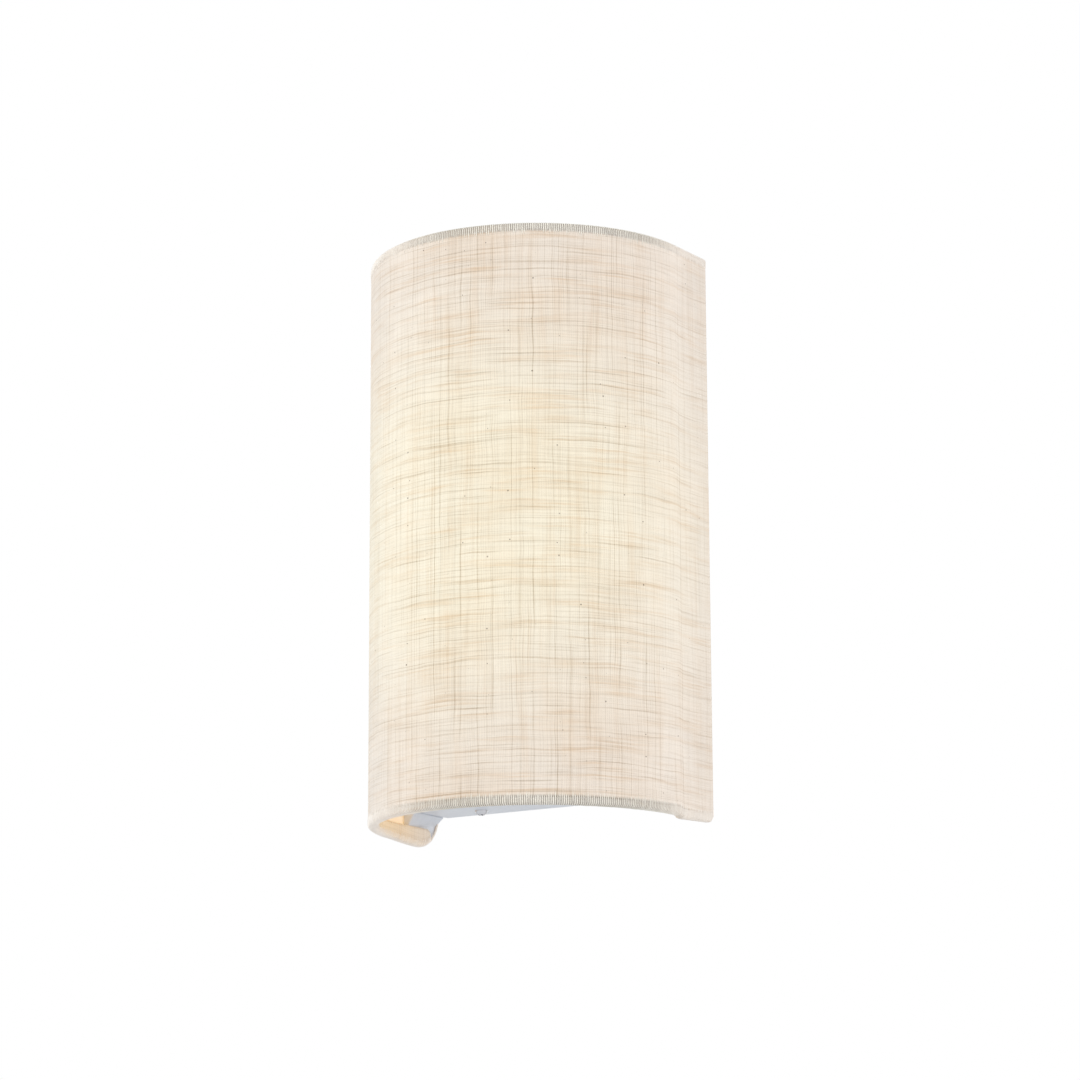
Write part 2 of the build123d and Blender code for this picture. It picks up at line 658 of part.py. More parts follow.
# ---- bulb -------------------------------------------------------------------------------


def bulb_tip():
    """The contact at the foot of the lamp's cap."""
    return Pos(0, LAMP_Y, INSULATOR_Z) * Rot(180, 0, 0) * domed_head(TIP, TIP_HEIGHT)


def bulb_insulator():
    """The dark glass cone between the tip and the screw cap."""
    low = (TIP / 2 + TIP_SHOULDER, INSULATOR_Z)
    high = (CAP / 2 - CAP_STEP, CAP_Z)
    return turned([(0, INSULATOR_Z), low, high, (0, CAP_Z)], 0, LAMP_Y)


def bulb_cap():
    """The screw cap, with its narrow foot and the flare that meets the neck."""
    radius = CAP / 2
    top = NECK_Z
    return turned(
        [
            (0, CAP_Z),
            (radius - CAP_STEP, CAP_Z),
            (radius, CAP_Z + CAP_CHAMFER),
            (radius, top - CAP_CHAMFER),
            (radius + CAP_FLARE, top),
            (0, top),
        ],
        0,
        LAMP_Y,
    )


def seam_z():
    """The height at which the globe's sphere is as wide as its seam."""
    return BULB_MIDDLE_Z - math.sqrt((GLOBE / 2) ** 2 - (GLOBE_SEAM / 2) ** 2)


def bulb_neck():
    """The white moulded neck that widens from the cap to the globe."""
    base = NECK_BASE / 2
    wide = GLOBE_SEAM / 2
    seam = seam_z()
    low = Line((0, NECK_Z), (base, NECK_Z))
    slopes = ((NECK_START_SLOPE, 1), (NECK_END_SLOPE, 1))
    side = Spline((base, NECK_Z), (wide, seam), tangents=slopes)
    top = Polyline((wide, seam), (0, seam), (0, NECK_Z))
    return Pos(0, LAMP_Y, 0) * revolve(Plane.XZ * face_of(low, side, top), Axis.Z)


def bulb_globe():
    """The opal globe, closed at the seam by a flat face."""
    seam = seam_z()
    wide = GLOBE_SEAM / 2
    arc = ThreePointArc((wide, seam), (GLOBE / 2, BULB_MIDDLE_Z), (0, BULB_TOP_Z))
    base = Line((0, seam), (wide, seam))
    axis = Line((0, BULB_TOP_Z), (0, seam))
    return Pos(0, LAMP_Y, 0) * revolve(Plane.XZ * face_of(base, arc, axis), Axis.Z)


# ---- wiring -----------------------------------------------------------------------------


def block_middle_z():
    return BLOCK_Z + BLOCK_HEIGHT / 2


def lead_tube(points, radii):
    """A lead: straight runs joined by tangent arcs."""
    path = FilletPolyline(*points, radius=radii)
    start = path @ 0
    section = Plane(start, z_dir=path % 0) * Circle(LEAD / 2)
    return sweep(section, path)


def lamp_lead(side, pole):
    """A lead from the holder's core, down through the nipple and back through the pan to its pole."""
    x = side * LEAD_SPREAD
    end_x = pole * POLE_PITCH
    foot = BLOCK_Z + BLOCK_WALL
    rise = foot - LEAD_TURN_Z
    points = [
        (x, LAMP_Y, CORE_Z + CORE_FLOOR / 2 - SEAT),
        (x, LAMP_Y, LEAD_TURN_Z),
        (x, LEAD_BACK_Y, LEAD_TURN_Z),
        (x, LEAD_BACK_Y, foot - rise * LEAD_LOW_TURN),
        (end_x, POLE_Y, foot - rise * LEAD_HIGH_TURN),
        (end_x, POLE_Y, foot),
    ]
    return lead_tube(points, [LEAD_BEND_LAMP, LEAD_BEND_PAN, LEAD_BEND_RISE, LEAD_BEND_POLE])


def tag_barrel_y():
    return PAN_INSIDE_Y + SEAT + TAG_BARREL / 2


def tag_start_x():
    return EARTH_X - TAG_RING / 2 - TAG_BARREL_LENGTH


def earth_lead():
    """The lead from the earth pole to the tag on the pan."""
    x = POLE_PITCH
    foot = BLOCK_Z + BLOCK_WALL
    barrel_x = tag_start_x()
    points = [
        (x, POLE_Y, foot),
        (x, POLE_Y, foot - EARTH_FALL),
        (x + EARTH_SWING, (POLE_Y + tag_barrel_y()) / 2 - 1, EARTH_Z),
        (barrel_x - EARTH_STRAIGHT, tag_barrel_y(), EARTH_Z),
        (barrel_x + TAG_BARREL_LENGTH / 2, tag_barrel_y(), EARTH_Z),
    ]
    return lead_tube(points, [EARTH_BEND_POLE, EARTH_BEND_TAG, EARTH_BEND_TAG])


def earth_tag():
    """A ring tag on the earth screw, with a crimped barrel for its lead."""
    start = tag_start_x()
    neck_length = EARTH_X - start - 1
    flat = Circle(TAG_RING / 2) + Pos(-neck_length / 2, 0) * Rectangle(neck_length, TAG_BARREL)
    flat -= Circle(PAN_SCREW / 2 + HOLE_CLEARANCE)
    front = Plane((EARTH_X, PAN_INSIDE_Y + SEAT / 2, EARTH_Z), x_dir=(1, 0, 0), z_dir=(0, 1, 0))
    barrel = bar_x(TAG_BARREL / 2, tag_barrel_y(), EARTH_Z, start, start + TAG_BARREL_LENGTH)
    bore = bar_x(LEAD / 2 + SEAT / 2, tag_barrel_y(), EARTH_Z, start - 1, start + TAG_BARREL_LENGTH + 1)
    return extrude(front * flat, TAG_SHEET) + barrel - bore


def earth_screw():
    seat = -PAN_DEPTH - SEAT / 2
    end = PAN_INSIDE_Y + TAG_SHEET + M4_NUT_HEIGHT + SCREW_TAIL
    return front_screw(EARTH_X, EARTH_Z, seat, end, M4_HEAD)


def earth_nut():
    return nut_y(EARTH_X, EARTH_Z, PAN_INSIDE_Y + SEAT + TAG_SHEET)


def lead_grommet():
    """The soft ring in the pan's face that the leads pass through."""
    bore = GROMMET_BORE / 2
    neck = bore + GROMMET_WALL - SEAT / 2
    lip = neck + GROMMET_WALL
    front = -PAN_DEPTH - SEAT / 2
    back = PAN_INSIDE_Y + SEAT / 2
    ring = bar_y(neck, 0, LEAD_TURN_Z, back + WELD, front - WELD)
    ring += bar_y(lip, 0, LEAD_TURN_Z, back + GROMMET_LIP, back)
    ring += bar_y(lip, 0, LEAD_TURN_Z, front, front - GROMMET_LIP)
    return ring - bar_y(bore, 0, LEAD_TURN_Z, 0, -2 * PAN_DEPTH)


def poles():
    return [-POLE_PITCH, 0, POLE_PITCH]


def terminal_screw_places():
    middle = block_middle_z()
    return [(x, middle + s * TERMINAL_SPACING / 2) for x in poles() for s in (-1, 1)]


def terminal_body():
    """A three-pole terminal strip: a row of joined barrels with screw wells towards the room."""
    half = len(poles()) * POLE_PITCH / 2
    front_y = BLOCK_BACK_Y - BLOCK_DEPTH
    base = block((-half, half), (POLE_Y, BLOCK_BACK_Y), (BLOCK_Z, BLOCK_TOP_Z))
    body = fillet(base.edges().filter_by(Axis.Z), BLOCK_ROUND)
    for x in poles():
        body += disc(TUBE / 2 + BLOCK_WALL - SEAT, BLOCK_Z, BLOCK_TOP_Z, x, POLE_Y)
    for x, z in terminal_screw_places():
        body += bar_y(TERMINAL_SCREW / 2 + BLOCK_WALL - 4 * SEAT, x, z, POLE_Y, front_y)
    for x in poles():
        body -= disc(TUBE / 2 + SEAT / 2, BLOCK_Z + BLOCK_WALL, BLOCK_TOP_Z - BLOCK_WALL, x, POLE_Y)
        body -= disc(LEAD / 2 + 2 * SEAT, BLOCK_Z - 1, BLOCK_TOP_Z + 1, x, POLE_Y)
    for x, z in terminal_screw_places():
        body -= bar_y(TERMINAL_SCREW / 2 + SEAT / 2, x, z, POLE_Y, front_y - 1)
    hole_z = block_middle_z()
    body -= bar_y(SMALL_SCREW / 2 + SEAT / 2, POLE_PITCH / 2, hole_z, BLOCK_BACK_Y + 1, front_y - 1)
    return body


def terminal_tubes():
    """The brass tubes of the terminal strip, each drilled through and tapped for its two screws."""
    tubes = []
    low = BLOCK_Z + BLOCK_WALL + SEAT
    high = BLOCK_TOP_Z - BLOCK_WALL - SEAT
    for x in poles():
        brass = tube(TUBE / 2, TUBE_BORE / 2, low, high, x, POLE_Y)
        for place_x, z in terminal_screw_places():
            if place_x == x:
                brass -= bar_y(TERMINAL_SCREW / 2 + SEAT / 2, x, z, POLE_Y, POLE_Y - TUBE)
        tubes.append(brass)
    return Compound(tubes)


def terminal_screws():
    """The clamp screws, standing on the leads inside the tubes."""
    tip = POLE_Y - LEAD / 2 - SEAT
    head = BLOCK_BACK_Y - BLOCK_DEPTH + TERMINAL_WELL
    return Compound([bar_y(TERMINAL_SCREW / 2, x, z, tip, head) for x, z in terminal_screw_places()])


def terminal_fixing_screw():
    """The small screw that holds the terminal strip to the wall plate."""
    z = block_middle_z()
    seat = POLE_Y - TUBE / 2 - BLOCK_WALL - SEAT
    head = domed_head(SMALL_HEAD, SMALL_HEAD_HEIGHT)
    shank = bar_y(SMALL_SCREW / 2, POLE_PITCH / 2, z, -SEAT, seat - WELD)
    return shank + Pos(POLE_PITCH / 2, seat, z) * Rot(90, 0, 0) * head


PARTS = {
    "wall_plate": wall_plate,
    "back_pan": back_pan,
    "pan_screws": lambda: mirrored(pan_screw(PAN_SCREW_X), Plane.YZ),
    "side_rail_right": side_rail,
    "side_rail_left": lambda: mirror(side_rail(), Plane.YZ),
    "rail_rivets": lambda: Compound(
        [part for z in rivet_heights() for part in (rail_rivet(z), mirror(rail_rivet(z), Plane.YZ))]
    ),
    "ring_top": lambda: ring_wire(FRAME_TOP - WIRE / 2),
    "ring_bottom": lambda: ring_wire(RIM_INSIDE_Z + WIRE / 2),
    "shade_liner": shade_liner,
    "shade_fabric": shade_fabric,
    "lamp_bracket": lamp_bracket,
    "bracket_screws": strip_screws,
    "bracket_nuts": strip_nuts,
    "holder_nipple": nipple,
    "nipple_nut": nipple_nut,
    "nipple_washer": nipple_washer,
    "holder_cap": holder_cap,
    "holder_sleeve": holder_sleeve,
    "holder_core": holder_core,
    "holder_terminal_screws": core_screws,
    "holder_screw_shell": holder_shell,
    "holder_centre_contact": holder_contact,
    "bulb_tip": bulb_tip,
    "bulb_insulator": bulb_insulator,
    "bulb_screw_cap": bulb_cap,
    "bulb_neck": bulb_neck,
    "bulb_globe": bulb_globe,
    "lead_grommet": lead_grommet,
    "lead_live": lambda: lamp_lead(-1, -1),
    "lead_neutral": lambda: lamp_lead(1, 0),
    "earth_lead": earth_lead,
    "earth_tag": earth_tag,
    "earth_screw": earth_screw,
    "earth_nut": earth_nut,
    "terminal_body": terminal_body,
    "terminal_tubes": terminal_tubes,
    "terminal_screws": terminal_screws,
    "terminal_fixing_screw": terminal_fixing_screw,
}

os.makedirs("parts", exist_ok=True)
for name, make in PARTS.items():
    export_step(make(), f"parts/{name}.step")
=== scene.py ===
import json
import math

import bmesh
import bpy
from bpy.props import FloatProperty, FloatVectorProperty, IntProperty, PointerProperty
from mathutils import Matrix, Vector


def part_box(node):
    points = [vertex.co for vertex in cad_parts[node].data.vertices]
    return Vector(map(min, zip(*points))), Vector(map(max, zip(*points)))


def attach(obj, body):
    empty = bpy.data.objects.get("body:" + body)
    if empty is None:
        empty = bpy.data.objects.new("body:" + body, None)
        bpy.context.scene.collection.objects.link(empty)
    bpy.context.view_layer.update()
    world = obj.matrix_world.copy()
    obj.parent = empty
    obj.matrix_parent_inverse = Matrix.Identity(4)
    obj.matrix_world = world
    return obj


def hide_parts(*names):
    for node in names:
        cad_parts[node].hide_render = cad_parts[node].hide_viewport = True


bl_info = {
    "name": "Fabric shade wall light",
    "version": (1, 0, 0),
    "blender": (4, 5, 0),
    "location": "3D View > Sidebar > Wall light",
    "description": "Finishes the parts of a half-round linen wall light and lights them on a studio stage",
    "category": "Object",
}

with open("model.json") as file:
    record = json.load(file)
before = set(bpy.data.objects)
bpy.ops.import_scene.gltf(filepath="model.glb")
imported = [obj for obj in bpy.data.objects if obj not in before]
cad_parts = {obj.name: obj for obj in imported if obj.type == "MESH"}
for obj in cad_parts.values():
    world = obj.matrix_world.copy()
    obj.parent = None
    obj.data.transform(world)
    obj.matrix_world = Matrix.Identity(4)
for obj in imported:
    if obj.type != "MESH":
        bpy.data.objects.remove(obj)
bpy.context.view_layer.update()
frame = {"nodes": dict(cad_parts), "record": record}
MM = 0.001
IN_METRE = 1000

# The shade, in millimetres: near stands for its right side and far for its left
HALF_WIDTH = 85.0
HALF_HEIGHT = 146.5
SIDE = 30.0
WALL_GAP = 0.3
CLOTH = 0.6
LAYERS = 0.7
PAN_HALF_HEIGHT = 130.5

# The lower edge: its level in front, its drop at the sides, and each side's step, rise and corner
FOOT = -145.0
SIDE_DROP = 1.5
NEAR_STEP = 3.0
FAR_STEP = 30.0
NEAR_RISE = 0.05
NEAR_CORNER = 1.6
FAR_CORNER = 16.0

# The hems: their inner walls stop short of the back edge in a round end
HEM_WIDTH = 5.1
HEM_HEIGHT = 8.0
HEM_BEND = 2.0
HEM_END = 7.4
HEM_STOP = 0.8
HEM_ROUND = 3.9
TIP_WIDTH = 3.6
INNER_TOP = -137.0

# The cords over the hems: their ends' heights, the length and thickness of a thin end, how uneven
# they are, where the bare cloth begins, and the distance from the hem that marks them
CORD_INNER = 3.2
CORD_OUTER = 5.2
CORD_TIP = 0.8
CORD_THIN = 0.25
CORD_UNEVEN = 0.22
CORD_FADE = 3.4
CORD_MARK = -1.0

# The cloth turned in over the back edges
RETURN = 7.4
RETURN_TIP = 2.6
RETURN_SHARES = (1.0, 0.7, 0.4, 0.15)

# The skin's grid: its lines lie close together at the corners and where the hems' inner walls stop
CORNER_LINES = (WALL_GAP, 0.4, 0.6, 0.9, 1.3, 1.8, 2.3, 2.8, 3.6, 4.6, 5.6)
HEM_LINES = (HEM_END - HEM_STOP, HEM_END, 7.7, 8.3, 9.0, 10.0, 11.3)
SIDE_LINES = (13.0, 15.0, 17.0, 20.0, 23.0, 26.0, 28.5, 29.3, SIDE)
ARC_STEPS = 120
WALL_STEPS = 48
FLAT_STEPS = 4
BEND_STEPS = 6
HEM_POINTS = FLAT_STEPS + 2 * BEND_STEPS

# Where the cloth's looks change with the distance round it from the near back edge, as (from, to)
NEAR_QUIET = (30.0, 95.0)
NEAR_LIMB = (18.0, 60.0)
NEAR_RIM = (8.0, 34.0)
FAR_LIMB = (160.0, 205.0)
FAR_RIM = (190.0, 225.0)
FAR_DIM = (275.0, 318.0)

# How much the looks change there: fainter slubs, painted shade on the rim, painted light that makes the hems
# fainter at the sides, and less lamp glow inside near the far back edge
QUIET = 0.35
PAINTED_RIM_SHADE = 0.05
LIMB_LIGHT_OPEN = 0.8
DIM = 0.8

# The weave: distances in millimetres, counts in a millimetre, and how dark the single threads are
WEFT_PITCH = 0.8
WANDER = 3.0
FLECK_COUNT = 0.085
DARK_WARP = 0.70
DARK_WEFT = 0.64
DARK_FAINT = 0.34

# The bulb, in metres: its middle, how far it lights the lining, and the sizes of its cap, whose
# thread rises from the wall and sinks back within a share of a turn
LAMP = Vector((0.0, -0.06845, 0.0))
LINING_REACH = 0.16
CAP_RADIUS = 0.0069
CAP_TAPER = 0.0009
CAP_FLARE = 0.0006
CAP_EDGE = 0.0016
THREAD_FROM = 0.0012
THREAD_TO = 0.0022
THREAD_FADE = 0.6

# The stage, in metres, the other lamps' shares of the key lamp's power, and the camera's turn,
# lift and roll in radians
FLOOR_REACH = 6.0
LIGHT_WIDTH = 1.6
KEY_AT = (-1.3, -2.3, 0.7)
FILL_AT = (3.04, 0.26, 0.1)
RIM_AT = (-2.95, -0.52, 0.1)
FILL_SHARE = 1.16
RIM_SHARE = 0.27
AIM = (0, -0.05, 0)
CAMERA_AT = Vector((0.9662, -1.5443, -0.3949))
CAMERA_TURN = 0.5668
CAMERA_LIFT = 0.2182
CAMERA_ROLL = -0.0044
CAMERA_LENS = 119.9

MATERIALS = {}


# ---- properties -------------------------------------------------------------------------


def colour(name, text, value):
    settings = {"subtype": "COLOR", "size": 3, "min": 0, "max": 1}
    return FloatVectorProperty(name=name, description=text, default=value, **settings)


def length(name, text, value, top=1.0):
    settings = {"unit": "LENGTH", "min": 0, "max": top, "precision": 5}
    return FloatProperty(name=name, description=text, default=value, **settings)


class WallLightCloth(bpy.types.PropertyGroup):
    linen: colour("Linen", "Colour of the cloth where it is thin", (0.665, 0.626, 0.572))
    slub: colour("Slub", "Tint of the thick threads", (0.84, 0.66, 0.48))
    dark_thread: colour("Dark thread", "Tint of the single dark threads", (0.60, 0.54, 0.46))
    fleck: colour("Fleck", "Colour of the small dark flecks", (0.16, 0.12, 0.09))
    glow_middle: colour("Glow, middle", "Light through the cloth in front of the lamp", (0.330, 0.290, 0.165))
    glow_edge: colour("Glow, edge", "Light through the cloth far from the lamp", (0.232, 0.176, 0.128))
    glow_inside: colour("Glow, inside", "Light from the lamp on the turned-in hems", (0.40, 0.27, 0.11))
    glow_hem: colour("Glow, hem", "Light through the doubled cloth of the hems", (0.030, 0.030, 0.028))
    glow_reach: length("Glow reach", "Distance from the lamp at which the glow has halved", 0.075)
    thread: length("Thread pitch", "Distance between the upright threads", 0.00115)
    rib_pitch: length("Hem rib pitch", "Distance between the cords over the hems", 0.00106)
    rib_radius: length("Hem rib radius", "Half the thickness of a cord over the hems", 0.00027)
    hem_cord: colour("Hem cord", "Colour of the cords over the hems in front", (0.93, 0.89, 0.79))
    # Painted light: the colour the hem cords take at the sides, where the light falls on them differently
    limb_lit_cord: colour("Edge cord", "Colour of the cords over the hems at the sides", (0.80, 0.78, 0.74))
    # Painted shade on the cloth between the cords over the hems
    painted_gap_shade: colour("Hem gap", "Darkening of the cloth between the cords over the hems", (0.77, 0.75, 0.74))
    seed: IntProperty(name="Seed", description="Chooses the irregularities of the cloth", default=4)


class WallLightMetal(bpy.types.PropertyGroup):
    paint: colour("Paint", "Powder coat of the pan, rails and bracket", (0.74, 0.77, 0.82))
    wire: colour("Wire", "Coat of the two rings", (0.80, 0.80, 0.79))
    zinc: colour("Zinc", "Plated wall plate and nuts", (0.62, 0.63, 0.65))
    bright: colour("Bright plate", "Plated screws", (0.72, 0.72, 0.74))


class WallLightLamp(bpy.types.PropertyGroup):
    opal: colour("Opal", "Globe of the bulb", (0.94, 0.92, 0.88))
    light: colour("Light", "Colour of the lit globe", (1.0, 0.86, 0.66))
    power: FloatProperty(
        name="Brightness", description="How brightly the globe shines", min=0, max=20, default=2.4
    )
    pitch: length("Cap thread pitch", "Rise of the cap's thread in one turn", 0.002822)
    depth: length("Cap thread depth", "Depth of the cap's thread", 0.0006)


class WallLightStage(bpy.types.PropertyGroup):
    drop: length("Height over floor", "How far the light hangs over the floor", 1.65, 5.0)
    fill: FloatProperty(name="Fill", description="Strength of the even light from all sides", default=0.62)
    key: FloatProperty(name="Key", description="Power of the large lamp, in watts", default=34.0)


# ---- materials --------------------------------------------------------------------------


class Signal:
    """One output in a material's tree; arithmetic on it adds the nodes that work it out."""

    def __init__(self, tree, socket=None):
        self.tree = tree
        self.socket = socket

    def node(self, kind, settings=None, inputs=None, output=0):
        """Adds a node, sets its settings, sets or links its inputs and returns one of its outputs."""
        made = self.tree.nodes.new(kind)
        for key, value in (settings or {}).items():
            setattr(made, key, value)
        for key, value in (inputs or {}).items():
            if isinstance(value, Signal):
                self.tree.links.new(value.socket, made.inputs[key])
            else:
                made.inputs[key].default_value = value
        return Signal(self.tree, made.outputs[output])

    def math(self, operation, *values):
        return self.node("ShaderNodeMath", {"operation": operation}, dict(enumerate(values)))

    def __add__(self, other):
        return self.math("ADD", self, other)

    def __radd__(self, other):
        return self.math("ADD", other, self)

    def __sub__(self, other):
        return self.math("SUBTRACT", self, other)

    def __rsub__(self, other):
        return self.math("SUBTRACT", other, self)

    def __mul__(self, other):
        return self.math("MULTIPLY", self, other)

    def __truediv__(self, other):
        return self.math("DIVIDE", self, other)

    def __rtruediv__(self, other):
        return self.math("DIVIDE", other, self)

    def __pow__(self, other):
        return self.math("POWER", self, other)

    def axis(self, index):
        return self.node("ShaderNodeSeparateXYZ", None, {0: self}, index)

    def step(self, low, high):
        """0 below low, 1 above high and smooth between them."""
        smooth = {"interpolation_type": "SMOOTHSTEP"}
        return self.node("ShaderNodeMapRange", smooth, {0: self, 1: low, 2: high})

    def mix(self, first, second):
        """first where this is 0, second where it is 1."""
        values = {0: self, 6: full(first), 7: full(second)}
        return self.node("ShaderNodeMix", {"data_type": "RGBA"}, values, 2)

    def tint(self, other):
        """This colour multiplied by another."""
        settings = {"data_type": "RGBA", "blend_type": "MULTIPLY"}
        return self.node("ShaderNodeMix", settings, {0: 1.0, 6: self, 7: full(other)}, 2)

    def noise(self, scale, detail=2.0, rough=0.5):
        inputs = {"Vector": self, "Scale": scale, "Detail": detail, "Roughness": rough}
        return self.node("ShaderNodeTexNoise", None, inputs)

    def bump(self, distance, strength):
        """A normal bent by this height: distance is the height of 1, in metres."""
        return self.node("ShaderNodeBump", None, {"Height": self, "Distance": distance, "Strength": strength})


def full(shade):
    """A colour with its fourth number, or a link as it is."""
    return shade if isinstance(shade, Signal) else (*tuple(shade)[:3], 1.0)


def vector(x, y, z=0.0):
    """Three values as one; at least one of them is a signal."""
    first = next(value for value in (x, y, z) if isinstance(value, Signal))
    return first.node("ShaderNodeCombineXYZ", None, {0: x, 1: y, 2: z})


def new_material(name):
    """A material with one Principled shader: returns it, its shader and a first signal."""
    material = bpy.data.materials.new(name)
    material.use_nodes = True
    shader = material.node_tree.nodes["Principled BSDF"]
    return material, shader, Signal(material.node_tree)


def feed(shader, **values):
    """Sets or links the shader's sockets; an underscore in a name stands for a space."""
    for name, value in values.items():
        socket = shader.inputs[name.replace("_", " ")]
        if isinstance(value, Signal):
            value.tree.links.new(value.socket, socket)
        elif hasattr(value, "__len__"):
            socket.default_value = full(value)
        else:
            socket.default_value = value


def place(tree):
    """Object coordinates, in metres."""
    return tree.node("ShaderNodeTexCoord", None, None, 3)


def patchy(x, y, seed, low, high, detail=1.0):
    """Soft patches over x and y: 0 where a noise is under low and 1 where it is over high."""
    return vector(x, y, seed).noise(1.0, detail).step(low, high)


def lone_threads(across, along, count, run, seed):
    """Thin threads, count in a millimetre, that drift and fade in and out along their length."""
    cell = {"voronoi_dimensions": "1D", "feature": "F1"}
    at = {"W": across * count + seed * 7.3, "Scale": 1.0, "Randomness": 0.9}
    reach = across.node("ShaderNodeTexVoronoi", cell, at, 0) / count
    chance = across.node("ShaderNodeTexVoronoi", cell, at, 1).axis(0)
    fade = patchy(along * run, chance * 90.0, seed, 0.36, 0.66)
    return (1 - reach.step(0.08, 0.40)) * fade * (0.35 + chance * 0.65)


def slubs(cloth, u, v):
    """How much thick thread each place holds, and how much each single warp and weft thread does."""
    seed = cloth.seed
    column = u / (cloth.thread * IN_METRE)
    column = column.math("FLOOR", column)
    row = v / WEFT_PITCH
    row = row.math("FLOOR", row)
    each_warp = patchy(column * 3.7, v * 0.022, seed + 13, 0.34, 0.70)
    each_weft = patchy(u * 0.032, row * 3.7, seed + 14, 0.34, 0.70)
    bands = patchy(u * 0.022, v * 0.24, seed + 5, 0.44, 0.68)
    strips = patchy(u * 0.11, v * 0.012, seed + 6, 0.46, 0.66)
    blotch = patchy(u * 0.020, v * 0.024, seed + 7, 0.40, 0.64, 2.0)
    slub = patchy(u * 0.026, v * 0.85, seed + 8, 0.53, 0.72)
    thick = blotch * 0.12 + bands * (0.03 + each_weft * 0.36) + strips * (0.04 + each_warp * 0.13)
    return thick + slub * (0.04 + bands * 0.12), each_warp, each_weft


def flecks(u, v):
    """Small dark specks, uneven in size, with none in half of the places for one."""
    cell = {"voronoi_dimensions": "2D", "feature": "F1"}
    at = {"Vector": vector(u, v), "Scale": FLECK_COUNT, "Randomness": 1.0}
    reach = u.node("ShaderNodeTexVoronoi", cell, at, 0)
    chance = u.node("ShaderNodeTexVoronoi", cell, at, 1)
    size = 0.012 + chance.axis(1) * 0.026
    return (1 - (reach / size).step(0.55, 1.25)) * chance.axis(0).step(0.50, 1.0) * 0.9


def lamp_distance(tree):
    """Distance from the middle of the bulb, in metres."""
    return tree.node("ShaderNodeVectorMath", {"operation": "DISTANCE"}, {0: place(tree), 1: LAMP}, 1)


def at_edges(across, near, far):
    """1 at the shade's near and far edges and 0 between them, with a smooth change over near and far."""
    return across.step(*far) + 1 - across.step(*near)


